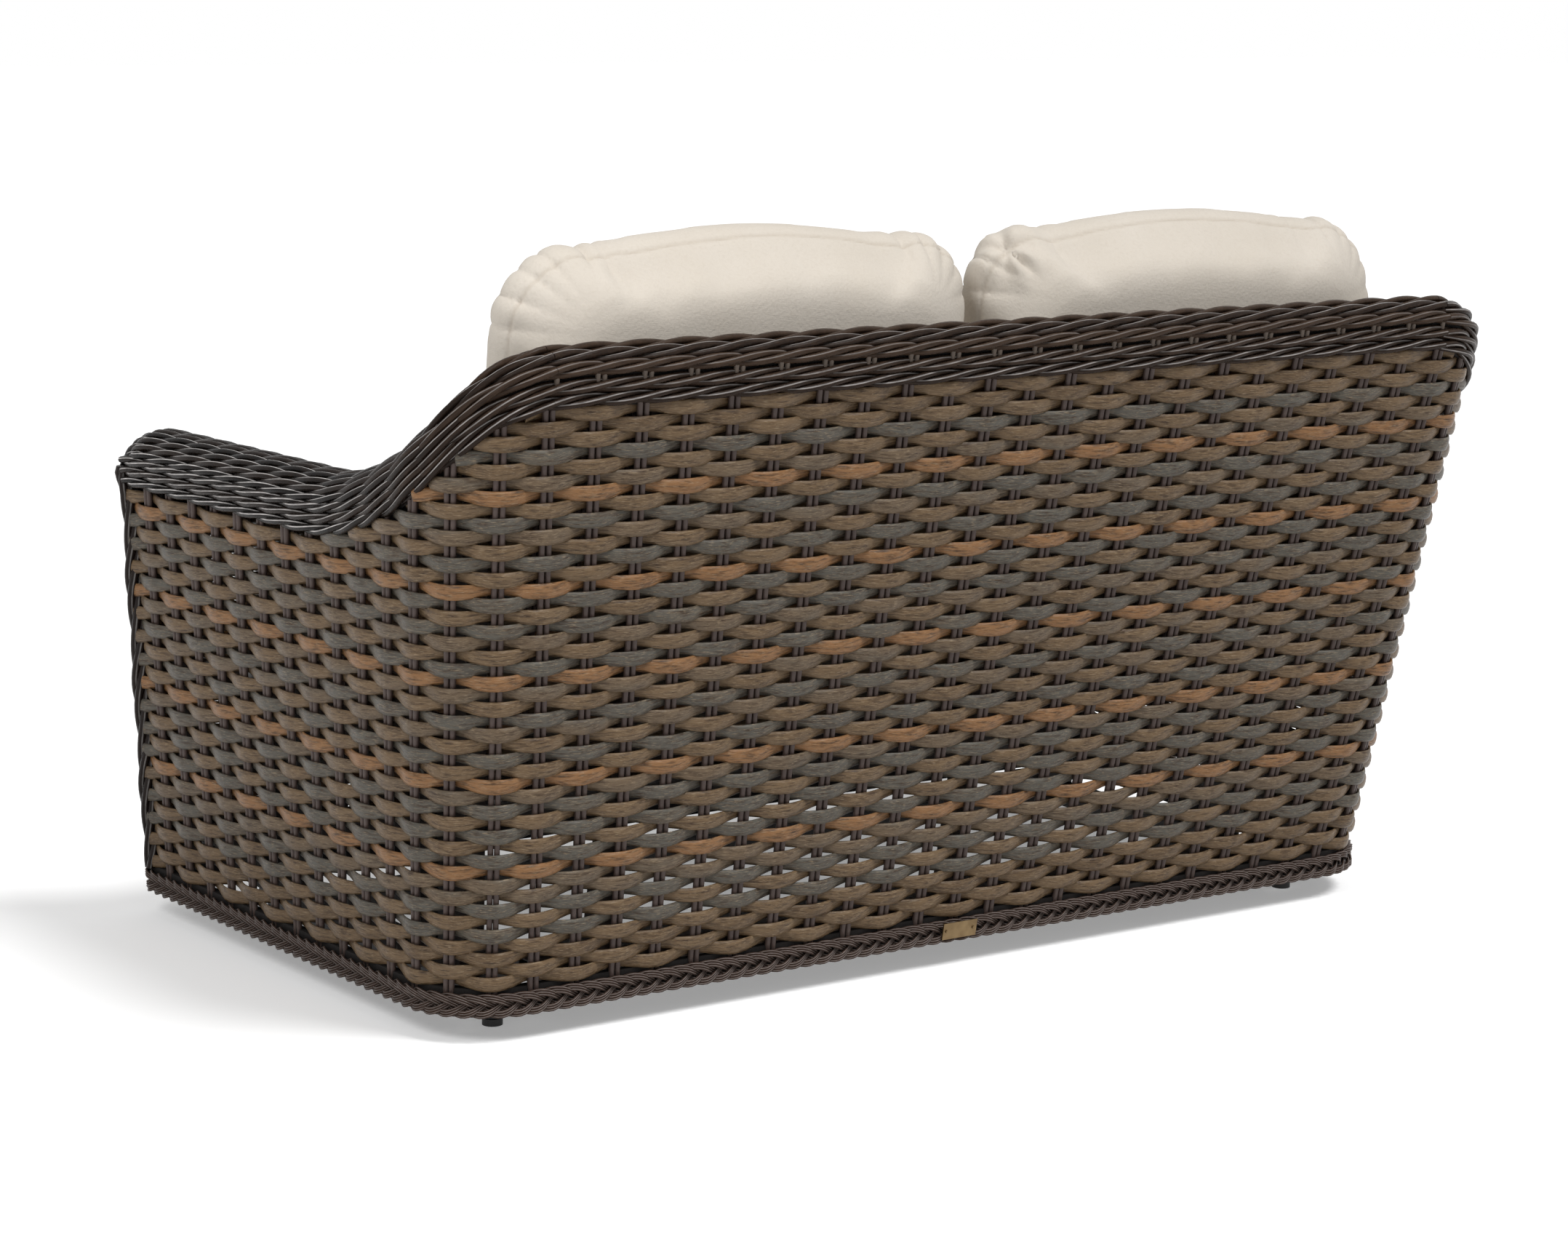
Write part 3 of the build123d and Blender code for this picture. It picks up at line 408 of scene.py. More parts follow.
def cane_finish(name, dark, middle, light, rough, gloss, highlight_amount):
    """Wrapped cane: darker than the walls, with a painted highlight along one side of each cane,
    strongest on dark canes.
    """
    material, graph = new_finish(name)
    tone = carried(graph, "tone")
    streak = along_strand(graph, 4.0, 2.6, 2.0)
    fine = along_strand(graph, 13.0, 8.0, 9.0)
    base = ramp(graph, tone + (streak - 0.5) * 0.7, [(0.1, dark), (0.5, middle), (0.95, light)])
    colour = mixed(graph, ((fine - 0.66) * 6.0).limited() * 0.12, base, paint(128, 114, 100))
    # Painted highlight: a pale streak mixed into the colour along one side of each cane, in place
    # of a lamp's gloss, broken up by the streaks and stronger on darker tones.
    off_highlight = (carried(graph, "across") - HIGHLIGHT_PLACE) / HIGHLIGHT_REACH
    painted_highlight = (1.0 - off_highlight ** 2.0).limited() * (streak * 1.8 - 0.2).limited()
    highlight_strength = highlight_amount * (1.25 - tone * 1.5).limited()
    colour = mixed(graph, painted_highlight * highlight_strength, colour, paint(232, 227, 224))
    surface(
        graph, colour, rough + fine * 0.15, streak * 0.5 + fine * 0.5, 0.0005,
        Specular_IOR_Level=gloss,
    )
    return material


def plain_stick(name, colour, other, rough):
    """Colour that varies slowly over an object, with a fine grain."""
    material, graph = new_finish(name)
    place = object_place(graph)
    slow = noisy(graph, place, 9.0, 2.0)
    grain = noisy(graph, place, 420.0, 2.0)
    blend = mixed(graph, (slow * 1.6 - 0.3).limited(), colour, other)
    surface(
        graph, blend, rough + (grain - 0.5) * 0.25, grain, 0.0003, Specular_IOR_Level=0.25
    )
    return material


strand_material = strand_finish()
# The last number of each cane finish is the strength of its painted highlight.
roll_material = cane_finish(
    "roll_cane", paint(9, 7, 6), paint(40, 30, 24), paint(74, 58, 46), 0.2, 0.08, 0.95
)
rope_material = cane_finish(
    "rope_cane", paint(16, 13, 13), paint(34, 27, 24), paint(58, 48, 42), 0.2, 0.1, 0.4
)
braid_material = cane_finish(
    "braid_cane", paint(30, 22, 18), paint(62, 48, 41), paint(98, 80, 70), 0.26, 0.1, 0.5
)
stake_material = plain_stick("stake_stick", paint(66, 54, 50), paint(84, 71, 66), 0.4)
core_material = plain_stick("roll_core", paint(14, 11, 10), paint(22, 18, 16), 0.8)
stake_end_material = plain_stick("stake_end", paint(112, 100, 90), paint(88, 78, 70), 0.5)
print("woven finishes", len(bpy.data.materials))

# %% [markdown]
# ## How one strand is woven
# A weaver lays a strand in front of one stake and behind the next. Geometry Nodes can do
# this to any number of rows: each row is only a line of points that knows which way is out
# and how many stakes it has passed. The tree swings the line out and in with a cosine, lets
# it sag where it passes in front, and sweeps a flat oval along it. The oval grows towards
# the front of a stake and shrinks behind the next, so its upper edge stays nearly straight.

# %% A tree for strands woven over and under
SOCKET_KINDS = {int: "NodeSocketInt", float: "NodeSocketFloat", type(None): "NodeSocketMaterial"}
SWELL_POWER = 1.7


def tree_inputs(tree, sizes):
    """The guide, one input for each size, of the kind that its value has, and the output."""
    tree.interface.new_socket(name="Guide", in_out="INPUT", socket_type="NodeSocketGeometry")
    for name, value in sizes.items():
        kind = SOCKET_KINDS[type(value)]
        socket = tree.interface.new_socket(name=name, in_out="INPUT", socket_type=kind)
        if value is not None:
            socket.default_value = value
    tree.interface.new_socket(name="Woven", in_out="OUTPUT", socket_type="NodeSocketGeometry")


def attribute(graph, name, kind="FLOAT"):
    return graph.node("GeometryNodeInputNamedAttribute", {"data_type": kind}, Name=name)


def oval(graph, thick, tall, faces):
    """Profile of a strand, which remembers how far across it each point lies."""
    ring = graph.node("GeometryNodeCurvePrimitiveCircle", None, Resolution=faces, Radius=1.0)
    place = graph.node("GeometryNodeInputPosition")
    across = graph.node("ShaderNodeSeparateXYZ", None, place).part("Y")
    ring = graph.node(
        "GeometryNodeStoreNamedAttribute", {"data_type": "FLOAT", "domain": "POINT"}, ring,
        Name="across", Value=across,
    )
    size = graph.node("ShaderNodeCombineXYZ", None, thick * 0.5, tall * 0.5, 1.0)
    return graph.node("GeometryNodeTransform", None, ring, Scale=size)


def scaled(graph, vector, factor):
    """A vector times a number."""
    return graph.node("ShaderNodeVectorMath", {"operation": "SCALE"}, vector, Scale=factor)


def swept(graph, entry, curve, normal, profile, scale):
    """Ends both trees: sweep, smooth, material, realise."""
    curve = graph.node("GeometryNodeSetCurveNormal", {"mode": "FREE"}, curve, Normal=normal)
    mesh = graph.node("GeometryNodeCurveToMesh", None, curve, profile, Scale=scale, Fill_Caps=True)
    mesh = graph.node("GeometryNodeSetShadeSmooth", None, mesh)
    mesh = graph.node("GeometryNodeSetMaterial", None, mesh, Material=entry.part("Material"))
    mesh = graph.node("GeometryNodeRealizeInstances", None, mesh)
    graph.node("NodeGroupOutput", None, mesh)


def woven_tree():
    tree = bpy.data.node_groups.new("woven_rows", "GeometryNodeTree")
    tree_inputs(tree, {
        "Swing": 0.00575, "Sag": 0.0014, "Thickness": 0.0035, "Height": 0.0116, "Swell": 0.58,
        "Faces": 10, "Material": None,
    })
    graph = Graph(tree)
    entry = graph.node("NodeGroupInput")
    curve = graph.node("GeometryNodeMeshToCurve", None, entry)
    out = attribute(graph, "outward", "FLOAT_VECTOR")
    phase = attribute(graph, "stake") + attribute(graph, "row")
    ahead = 1.0 - phase.math("PINGPONG", phase, 1.0) ** SWELL_POWER
    swing = scaled(graph, out, (phase * pi).cosine() * entry.part("Swing"))
    sag = graph.node("ShaderNodeCombineXYZ", None, 0.0, 0.0, ahead * entry.part("Sag") * -1.0)
    move = graph.node("ShaderNodeVectorMath", {"operation": "ADD"}, swing, sag)
    curve = graph.node("GeometryNodeSetPosition", None, curve, Offset=move)
    profile = oval(graph, entry.part("Thickness"), entry.part("Height"), entry.part("Faces"))
    swept(graph, entry, curve, out, profile, 1.0 + ahead * entry.part("Swell"))
    return tree


woven_rows = woven_tree()
print("woven tree", len(woven_rows.nodes), "nodes")

# %% [markdown]
# ## How strands are twisted and plaited
# The rolls, the ropes and the bottom band are made by passing three, four or five strands
# round each other. Seen along the row, a twist is a circle, and a flat plait is a figure of
# eight: once up and down while it goes twice in and out. One tree does both, with a number
# for each.

# %% A tree for twisted and plaited strands
def twisted_tree():
    tree = bpy.data.node_groups.new("twisted_rows", "GeometryNodeTree")
    tree_inputs(tree, {
        "Strands": 3, "Lanes": 1, "Turn": 3.0, "Across": 0.004, "Outward": 0.004,
        "Doubling": 1.0, "Lead": pi / 2, "Lane Rise": 0.005, "Thickness": 0.0075, "Faces": 8,
        "Material": None,
    })
    graph = Graph(tree)
    entry = graph.node("NodeGroupInput")
    curve = graph.node("GeometryNodeMeshToCurve", None, entry)
    lanes = entry.part("Lanes")
    copies = graph.node(
        "GeometryNodeDuplicateElements", {"domain": "SPLINE"}, curve,
        Amount=entry.part("Strands") * lanes,
    )
    number = copies.part("Duplicate Index")
    strand = (number / lanes).floor()
    lane = number % lanes - (lanes - 1.0) * 0.5
    turned = attribute(graph, "stake") / entry.part("Turn") + strand / entry.part("Strands")
    angle = turned * (2 * pi)
    rise = angle.sine() * entry.part("Across") + lane * entry.part("Lane Rise")
    reach = (angle * entry.part("Doubling") + entry.part("Lead")).sine() * entry.part("Outward")
    out = attribute(graph, "outward", "FLOAT_VECTOR")
    move = graph.node(
        "ShaderNodeVectorMath", {"operation": "ADD"}, scaled(graph, out, reach),
        scaled(graph, attribute(graph, "upward", "FLOAT_VECTOR"), rise),
    )
    toned = graph.node(
        "GeometryNodeStoreNamedAttribute", {"data_type": "FLOAT", "domain": "POINT"}, copies,
        Name="row", Value=attribute(graph, "row") + number * 0.37,
    )
    curve = graph.node("GeometryNodeSetPosition", None, toned, Offset=move)
    thickness = entry.part("Thickness")
    profile = oval(graph, thickness, thickness, entry.part("Faces"))
    swept(graph, entry, curve, out, profile, attribute(graph, "swell"))
    return tree


twisted_rows = twisted_tree()
print("twisted tree", len(twisted_rows.nodes), "nodes")

# %% [markdown]
# ## Guide lines
# A guide is a chain of points with their attributes. The helper gathers many chains into one
# mesh, gives it to a tree, and turns the result into a plain mesh, which is what the frame
# needs.

# %% Guides and their making
class Guides:
    """Lines for a tree to weave."""

    def __init__(self):
        self.points, self.edges = [], []
        self.values = {"stake": [], "row": [], "tone": [], "swell": []}
        self.vectors = {"outward": [], "upward": []}

    def line(self, places, row, tones, swell=1.0):
        """Adds a line of (point, outward, upward, stake) places, with one tone or many."""
        first = len(self.points)
        if not isinstance(tones, list):
            tones = [tones] * len(places)
        for (point, out, up, stake), tone in zip(places, tones):
            self.points.append(point)
            self.values["stake"].append(stake)
            self.values["row"].append(row)
            self.values["tone"].append(tone)
            self.values["swell"].append(swell)
            self.vectors["outward"].append(out)
            self.vectors["upward"].append(up)
        self.edges += [(first + i, first + i + 1) for i in range(len(places) - 1)]

    def object(self, name):
        mesh = bpy.data.meshes.new(name + "_guides")
        mesh.from_pydata([tuple(point) for point in self.points], self.edges, [])
        for key, values in self.values.items():
            mesh.attributes.new(key, "FLOAT", "POINT").data.foreach_set("value", values)
        for key, values in self.vectors.items():
            flat = [part for vector in values for part in vector]
            mesh.attributes.new(key, "FLOAT_VECTOR", "POINT").data.foreach_set("vector", flat)
        return in_scene(name, mesh)


def woven(name, guides, tree, **sizes):
    """Runs a tree on guides and returns a plain mesh object."""
    source = guides.object(name + "_lines")
    modifier = source.modifiers.new("weave", "NODES")
    modifier.node_group = tree
    for item in tree.interface.items_tree:
        key = item.name.replace(" ", "_")
        if item.in_out == "INPUT" and key in sizes:
            modifier[item.identifier] = sizes[key]
    return as_piece(name, source)


def as_piece(name, source):
    """A plain mesh of what an object's modifiers make."""
    graph = bpy.context.evaluated_depsgraph_get()
    graph.update()
    mesh = bpy.data.meshes.new_from_object(source.evaluated_get(graph))
    mesh.name = name
    bpy.data.objects.remove(source)
    piece = in_scene(name, mesh)
    triangles = sum(len(face.vertices) - 2 for face in mesh.polygons)
    print(name, len(mesh.vertices), "points", triangles, "triangles")
    return piece


def joined(name, pieces):
    """One object from several, each with its own material kept."""
    for other in bpy.context.selected_objects:
        other.select_set(False)
    for piece in pieces:
        piece.select_set(True)
    bpy.context.view_layer.objects.active = pieces[0]
    bpy.ops.object.join()
    pieces[0].name = name
    return pieces[0]


def on_seat(piece, *names, slot="woven_strand"):
    """The piece moves with the seat, and the CAD nodes that it takes the place of are hidden."""
    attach(piece, "seat")
    if names:
        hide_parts(*names)


print("guides ready")

# %% [markdown]
# ## The outer wall
# Forty-five rows lie one on another, and every second row passes in front of the same
# stakes. The wall is one run from front post to front post, parted into a back and two
# sides in the middle of a pitch, so no joint falls on a stake. Rows above the arms end where
# the rolls come down.

# %% Rows of the outer wall
ROW_PITCH, STAKE_PITCH = 0.01485, 0.0535
ROW_COUNT, OVER_DECK, OVER_ARM = 45, 18, 33
MIDDLE_INSET = 0.0090
STEPS = 6
ROPE_COVER, ROLL_COVER, ARM_MARGIN = 0.013, 0.004, 0.002
SHORTEST_ROW = 0.3
ROW_WOBBLE, ROW_WAVE = 0.0006, 0.0009
CORNER_STAKE, PAST_FRONT = 11.5, 40
INNER_TONES = 11
ROW_LETTERS = "bbnbgbgttcgbgbgtcbgbtgbtcgbtgbgcbgbtgbctbgbnb"
TONES = {"b": 0.2, "n": 0.08, "t": 0.42, "g": 0.6, "c": 0.92}


def row_tone(row):
    """Tone of a row: brown, nut, taupe, grey or copper, from the foot upwards."""
    return TONES[ROW_LETTERS[row % len(ROW_LETTERS)]]


def row_height(row):
    return BRAID_TOP + (row + 0.5) * ROW_PITCH


def row_reach(row):
    """How far round a row goes before a roll or the front rope covers its end."""
    height = row_height(row)
    if height < ARM_TOP + ARM_MARGIN:
        return FRONT_END - ROPE_COVER
    low, high = SWOOP_START, SWOOP_END
    for halving in range(30):
        middle = (low + high) / 2
        if swoop_height(middle) > height - ROLL_COVER:
            low = middle
        else:
            high = middle
    return low


def outer_rows(first, last):
    """Guides between two counts of stakes, from the right to the left."""
    guides = Guides()
    for row in range(ROW_COUNT):
        height = row_height(row)
        reach = row_reach(row) / STAKE_PITCH
        start, end = max(first, -reach), min(last, reach)
        if end - start < SHORTEST_ROW:
            continue
        counts = range(ceil(start * STEPS + 0.01), floor(end * STEPS - 0.01) + 1)
        wobble = random.Random(row).uniform(-ROW_WOBBLE, ROW_WOBBLE)
        places = []
        for stake in [start, *(count / STEPS for count in counts), end]:
            run = stake * STAKE_PITCH
            level = height + wobble + ROW_WAVE * noise.noise(Vector((run * 9, row * 1.7, 0)))
            place = wall_place(run, level, MIDDLE_INSET)
            places.append((place, outward(run, height), UP, stake))
        guides.line(places, row, row_tone(row))
    return guides


wall_parts = {
    part: woven("strands_" + part, outer_rows(first, last), woven_rows, Material=strand_material)
    for part, first, last in (
        ("back", -CORNER_STAKE, CORNER_STAKE), ("left", CORNER_STAKE, PAST_FRONT),
        ("right", -PAST_FRONT, -CORNER_STAKE),
    )
}


def inner_corner_rows(sign):
    """Rows on the seat side of a rear corner, above the arm."""
    guides = Guides()
    for row in range(OVER_ARM, ROW_COUNT):
        height = row_height(row)
        last = min(row_reach(row), SWOOP_END) - ROLL_COVER
        count = max(2, round((last - SWOOP_START) / STAKE_PITCH * STEPS))
        places = []
        for run in spread(SWOOP_START, last, count):
            place = wall_place(run * sign, height, BACK_DEPTH - MIDDLE_INSET)
            places.append((place, -outward(run * sign, height), UP, run / STAKE_PITCH))
        guides.line(places, row, row_tone(row + INNER_TONES))
    return guides

# %% [markdown]
# Stakes are pairs of round sticks that stand inside the weave and lean with it. A stick is
# a straight line between two places on the wall, so a few faces each are enough.

# %% Stakes of the outer wall
STICK_RADIUS, PAIR_OFFSET, PAIR_SHARE = 0.0034, 0.0038, 0.07
FOOT_TUCK, BACK_TUCK, SIDE_TUCK = 0.012, 0.012, 0.008


def bridge(mesh, here, there, smooth=0):
    """Faces from one ring of points to the next, the first of them shaded smooth."""
    for index in range(len(here)):
        after = (index + 1) % len(here)
        face = mesh.faces.new((here[index], here[after], there[after], there[index]))
        face.smooth = index < smooth


def stick(mesh, low, high, radius, sides=8):
    """A round stick with closed ends, added to a bmesh."""
    along = (high - low).normalized()
    first = along.orthogonal().normalized()
    second = along.cross(first)
    rings = []
    for centre in (low, high):
        ring = []
        for index in range(sides):
            angle = 2 * pi * index / sides
            offset = (first * cos(angle) + second * sin(angle)) * radius
            ring.append(mesh.verts.new(centre + offset))
        rings.append(ring)
    bridge(mesh, *rings, smooth=sides)
    mesh.faces.new(list(reversed(rings[0])))
    mesh.faces.new(rings[1])


def from_bmesh(name, mesh, material):
    """An object from a bmesh."""
    data = bpy.data.meshes.new(name)
    mesh.to_mesh(data)
    mesh.free()
    data.materials.append(material)
    piece = in_scene(name, data)
    return piece


def stake_sticks(name, numbers, tuck, inset=MIDDLE_INSET, foot=BRAID_TOP - FOOT_TUCK):
    """Pairs of sticks that stand in the wall and end inside the rolls."""
    mesh = bmesh.new()
    for number in numbers:
        for side in (-1, 1):
            run = number * STAKE_PITCH + side * PAIR_OFFSET
            low = wall_place(run, foot, inset)
            stick(mesh, low, wall_place(run, swoop_height(run) + tuck, inset), STICK_RADIUS)
    return from_bmesh(name, mesh, stake_material)


back_numbers, side_numbers, inner_numbers = range(-11, 12), range(12, 26), range(12, 16)
back_stakes = stake_sticks("stakes_back", back_numbers, BACK_TUCK)
on_seat(joined("weave_back", [wall_parts["back"], back_stakes]), "woven_back")
for sign, side in SIDES:
    inner_corner = woven(
        "inner_corner", inner_corner_rows(sign), woven_rows, Material=strand_material
    )
    stakes = stake_sticks("stakes_" + side, [sign * number for number in side_numbers], SIDE_TUCK)
    inner_stakes = stake_sticks(
        "inner_stakes", [sign * number for number in inner_numbers], SIDE_TUCK,
        BACK_DEPTH - MIDDLE_INSET, ARM_TOP,
    )
    on_seat(
        joined("weave_" + side, [wall_parts[side], stakes, inner_corner, inner_stakes]),
        "woven_" + side + "_corner", "woven_" + side + "_side",
    )
print("outer stakes", 2 * (len(back_numbers) + 2 * len(side_numbers)))

# %% [markdown]
# ## Walls on the seat side
# The same weave closes the inside of the back and the arms, the arm fronts and the apron
# under the seat. Each is a straight panel, so one helper lays its rows and sets its stakes
# between two edges that lean.

# %% Straight woven panels
def panel(name, first_row, last_row, ends_at, out_sign, top, replaced):
    """A woven panel. ends_at gives the two ends of a level line on its middle surface."""
    guides = Guides()
    start, end = ends_at(row_height((first_row + last_row) // 2))
    pitches = max(2, round((end - start).length / STAKE_PITCH))
    for row in range(first_row, last_row + 1):
        low, high = ends_at(row_height(row))
        along = (high - low).normalized()
        out = Vector((along.y, -along.x, 0)) * out_sign
        places = []
        for index in range(pitches * STEPS + 1):
            stake = index / STEPS
            places.append((low.lerp(high, stake / pitches), out, UP, stake + 0.5))
        guides.line(places, row, row_tone(row + INNER_TONES))
    rows = woven(name + "_rows", guides, woven_rows, Material=strand_material)
    sticks = bmesh.new()
    foot = row_height(first_row) - ROW_PITCH / 2
    for index in range(pitches):
        for side in (-1, 1):
            share = (index + 0.5 + side * PAIR_SHARE) / pitches
            low, high = (ends_at(level)[0].lerp(ends_at(level)[1], share) for level in (foot, top))
            stick(sticks, low, high, STICK_RADIUS)
    stakes = from_bmesh(name + "_stakes", sticks, stake_material)
    on_seat(joined(name, [rows, stakes]), replaced)


ARM_FRONT_EDGE, APRON_TUCK, APRON_OVER = 0.012, 0.010, 0.006


def right_across(x_edge, y_place, height):
    return [Vector((sign * x_edge, y_place, height)) for sign in (-1, 1)]


def inner_back_ends(height):
    y_place = rear_line(height) - BACK_DEPTH + MIDDLE_INSET
    if height < ARM_TOP:
        x_edge = side_point(y_place, height, ARM_WIDTH - SKIN)[0]
    else:
        x_edge = wall_place(SWOOP_START, height, 0).x
    return right_across(x_edge, y_place, height)


def apron_ends(height):
    y_place = front_line(height) + MIDDLE_INSET
    return right_across(
        side_point(y_place, height, ARM_WIDTH - APRON_TUCK)[0], y_place, height
    )


def arm_inner_ends(height):
    return [
        Vector((*side_point(y_place, height, ARM_WIDTH - MIDDLE_INSET), height))
        for y_place in (front_line(height) + SKIN, rear_line(height) - BACK_DEPTH)
    ]


def arm_front_ends(height):
    y_place = front_line(height) + MIDDLE_INSET
    return [
        Vector((*side_point(y_place, height, inset), height))
        for inset in (ARM_WIDTH - ARM_FRONT_EDGE, ARM_FRONT_EDGE)
    ]


def on_side(ends_at, sign):
    """The ends on the left side, or their mirror images."""
    return ends_at if sign > 0 else lambda height: [mirrored(point) for point in ends_at(height)]


panel("weave_inner_back", OVER_DECK, ROW_COUNT - 1, inner_back_ends, 1, BACK_TOP, "inner_back")
panel("weave_apron", 0, OVER_DECK - 1, apron_ends, 1, DECK + APRON_OVER, "front_apron")
for part, first_row, ends_at, out_sign in (
    ("_arm_inner", OVER_DECK, arm_inner_ends, -1), ("_arm_front", 0, arm_front_ends, 1),
):
    for sign, side in SIDES:
        panel(
            "weave_" + side + part, first_row, OVER_ARM - 1, on_side(ends_at, sign),
            out_sign * sign, ARM_TOP, side + part,
        )

# %% [markdown]
# ## Wrapped rolls
# A padded-looking border runs over the high back, sweeps down round each rear corner and
# along the arm to a rounded nose. It is wrapped in rows of three round canes that pass in
# front of two stakes and behind the next, which gives the sausage-like slanting segments.
# The back has nine rows and the wider arm sixteen: the extra rows start on the sweep.

# %% Cross-section of a roll
ROLL_PROUD = 0.003
ROLL_ON_BACK, ROLL_GROWTH = (0.060, 0.068, 0.038), (0.040, 0.003, -0.006)


def roll_sizes(run):
    """Share of the sweep, and the roll's width, height and height of its upright sides."""
    share = clamped(swoop_share(run))
    return share, *(size + more * share for size, more in zip(ROLL_ON_BACK, ROLL_GROWTH))


def section_point(run, arc_share, depth):
    """Inset, rise and normal at a share of the way over the roll, from outside to inside."""
    share, width, tall, upright = roll_sizes(run)
    half, rise = (width + ROLL_PROUD) / 2, tall - upright
    radius = (half * half + rise * rise) / (2 * rise)
    middle, spread_angle = (width - ROLL_PROUD) / 2, atan2(half, radius - rise)
    length = 2 * upright + 2 * radius * spread_angle
    travel = arc_share * length
    if travel < upright:
        return -ROLL_PROUD + depth, travel, -1.0, 0.0
    if travel > length - upright:
        return width - depth, length - travel, 1.0, 0.0
    angle = (travel - upright) / radius - spread_angle
    reach = radius - depth
    return middle + reach * sin(angle), tall - radius + reach * cos(angle), sin(angle), cos(angle)


def roll_place(run, inset, rise):
    """A place in a roll's section."""
    height, tall = swoop_height(run), roll_sizes(run)[2]
    foot, top = wall_place(run, height, 0), wall_place(run, height + tall, 0)
    inward = level_inward(run)
    lean = -(top - foot).dot(inward) / tall
    return foot + inward * (inset - lean * rise) + Vector((0, 0, rise))


def facing(run, side, up):
    """Outward and across directions where the section faces so far inwards and so far up."""
    inward = level_inward(run)
    return inward * side + Vector((0, 0, up)), inward * up - Vector((0, 0, side))


def roll_frame(run, arc_share, depth):
    """Place, outward and across directions on a roll."""
    inset, rise, side, up = section_point(run, arc_share, depth)
    return roll_place(run, inset, rise), *facing(run, side, up)


BACK_ARC = 172
BACK_SHARES = [arc / BACK_ARC for arc in (8.5, 24, 45, 65, 86, 107, 127, 148, 163.5)]
ARM_ROWS = 16
THROUGH_ROWS = [0, 2, 4, 6, 7, 9, 11, 13, 15]
NOSE_END = FRONT_END + 0.009
NOSE_LENGTH, NOSE_FALL = 0.050, 0.050


def row_share(number, share):
    """Where an arm row lies over the roll, at a share of the sweep."""
    on_arm = (number + 0.5) / ARM_ROWS
    if number in THROUGH_ROWS:
        on_back = BACK_SHARES[THROUGH_ROWS.index(number)]
    else:
        before = max(i for i, row in enumerate(THROUGH_ROWS) if row < number)
        on_back = (BACK_SHARES[before] + BACK_SHARES[before + 1]) / 2
    eased = share * share * (3 - 2 * share)
    return on_back + (on_arm - on_back) * eased


print("arm rows", ARM_ROWS, "nose ends at", round(NOSE_END, 3))

# %% Rows of the rolls
CANE_DEPTH = 0.0087
BACK_TONE, ARM_TONE, TONE_STEP = 0.62, 0.25, 0.09
TWIST_WIDTH, TWIST_NARROWING = 1.35, 0.4
NOSE_STEPS, NOSE_STAKES, NOSE_FOOT = 10, 0.14, 0.003
FRONT_STEP, FRONT_STAKES, FRONT_FOOT = 0.006, 0.11, 0.008
UPRIGHT_LIMIT, LEAST_ACROSS, ROPE_MARGIN = 0.35, 0.5, 0.010
EXTRA_START, EXTRA_STAGGER, TUCK, TUCK_SHARE = 0.22, 0.05, 0.006, 0.12


def row_shift(number):
    return TONE_STEP * ((number * 5) % 3 - 1)


def level_up(places):
    """Makes the across directions square to the line."""
    made = []
    for index, (point, out, up, stake) in enumerate(places):
        ahead = places[min(index + 1, len(places) - 1)][0] - places[max(index - 1, 0)][0]
        ahead.normalize()
        length = up.length
        out = (out - ahead * out.dot(ahead)).normalized()
        up = up - ahead * up.dot(ahead)
        up = (up - out * up.dot(out)).normalized() * length
        made.append((point, out, up, stake))
    return made


def back_roll_guides():
    guides = Guides()
    limit = SWOOP_START / STAKE_PITCH
    count = ceil(2 * limit * STEPS)
    for number, arc_share in enumerate(BACK_SHARES):
        places = []
        for stake in spread(-limit, limit, count):
            place, out, up = roll_frame(stake * STAKE_PITCH, arc_share, CANE_DEPTH)
            places.append((place, out, up * TWIST_WIDTH, stake))
        guides.line(places, THROUGH_ROWS[number], BACK_TONE + row_shift(THROUGH_ROWS[number]))
    return guides


def nose_drop(share, depth):
    """How far a line at some depth has come down, at a share of its way along the nose."""
    return (NOSE_FALL - depth) * (1 - sqrt(max(0, 1 - share * share)))


def over_nose(number, sign, stake):
    """The end of a row: under the rope at the sides, over the nose and down on top."""
    places = []
    forward = wall_place(NOSE_END * sign, ARM_TOP, 0) - wall_place(sign * 1.2, ARM_TOP, 0)
    forward.normalize()
    arc_share = row_share(number, 1)
    start = NOSE_END - NOSE_LENGTH
    upright = section_point(start, arc_share, CANE_DEPTH)[3] < UPRIGHT_LIMIT
    for step in range(1, NOSE_STEPS + 1):
        angle = pi / 2 * step / NOSE_STEPS
        reach = (NOSE_LENGTH - CANE_DEPTH) * sin(angle)
        run = start + reach
        inset, rise, side, up = section_point(run, arc_share, CANE_DEPTH)
        inward = level_inward(run * sign)
        out, across = facing(run * sign, side, up)
        stake += NOSE_STAKES
        if upright:
            if run > FRONT_END - ROPE_MARGIN:
                break
            places.append((roll_place(run * sign, inset, rise), out, across, stake * sign))
            continue
        rise -= nose_drop(sin(angle), CANE_DEPTH)
        if rise < NOSE_FOOT:
            break
        out = out * cos(angle) + forward * sin(angle)
        across = inward * max(up, LEAST_ACROSS)
        places.append((roll_place(run * sign, inset, rise), out, across, stake * sign))
    while not upright and rise > FRONT_FOOT:
        rise -= FRONT_STEP
        stake += FRONT_STAKES
        places.append((roll_place(run * sign, inset, rise), forward, inward, stake * sign))
    return places


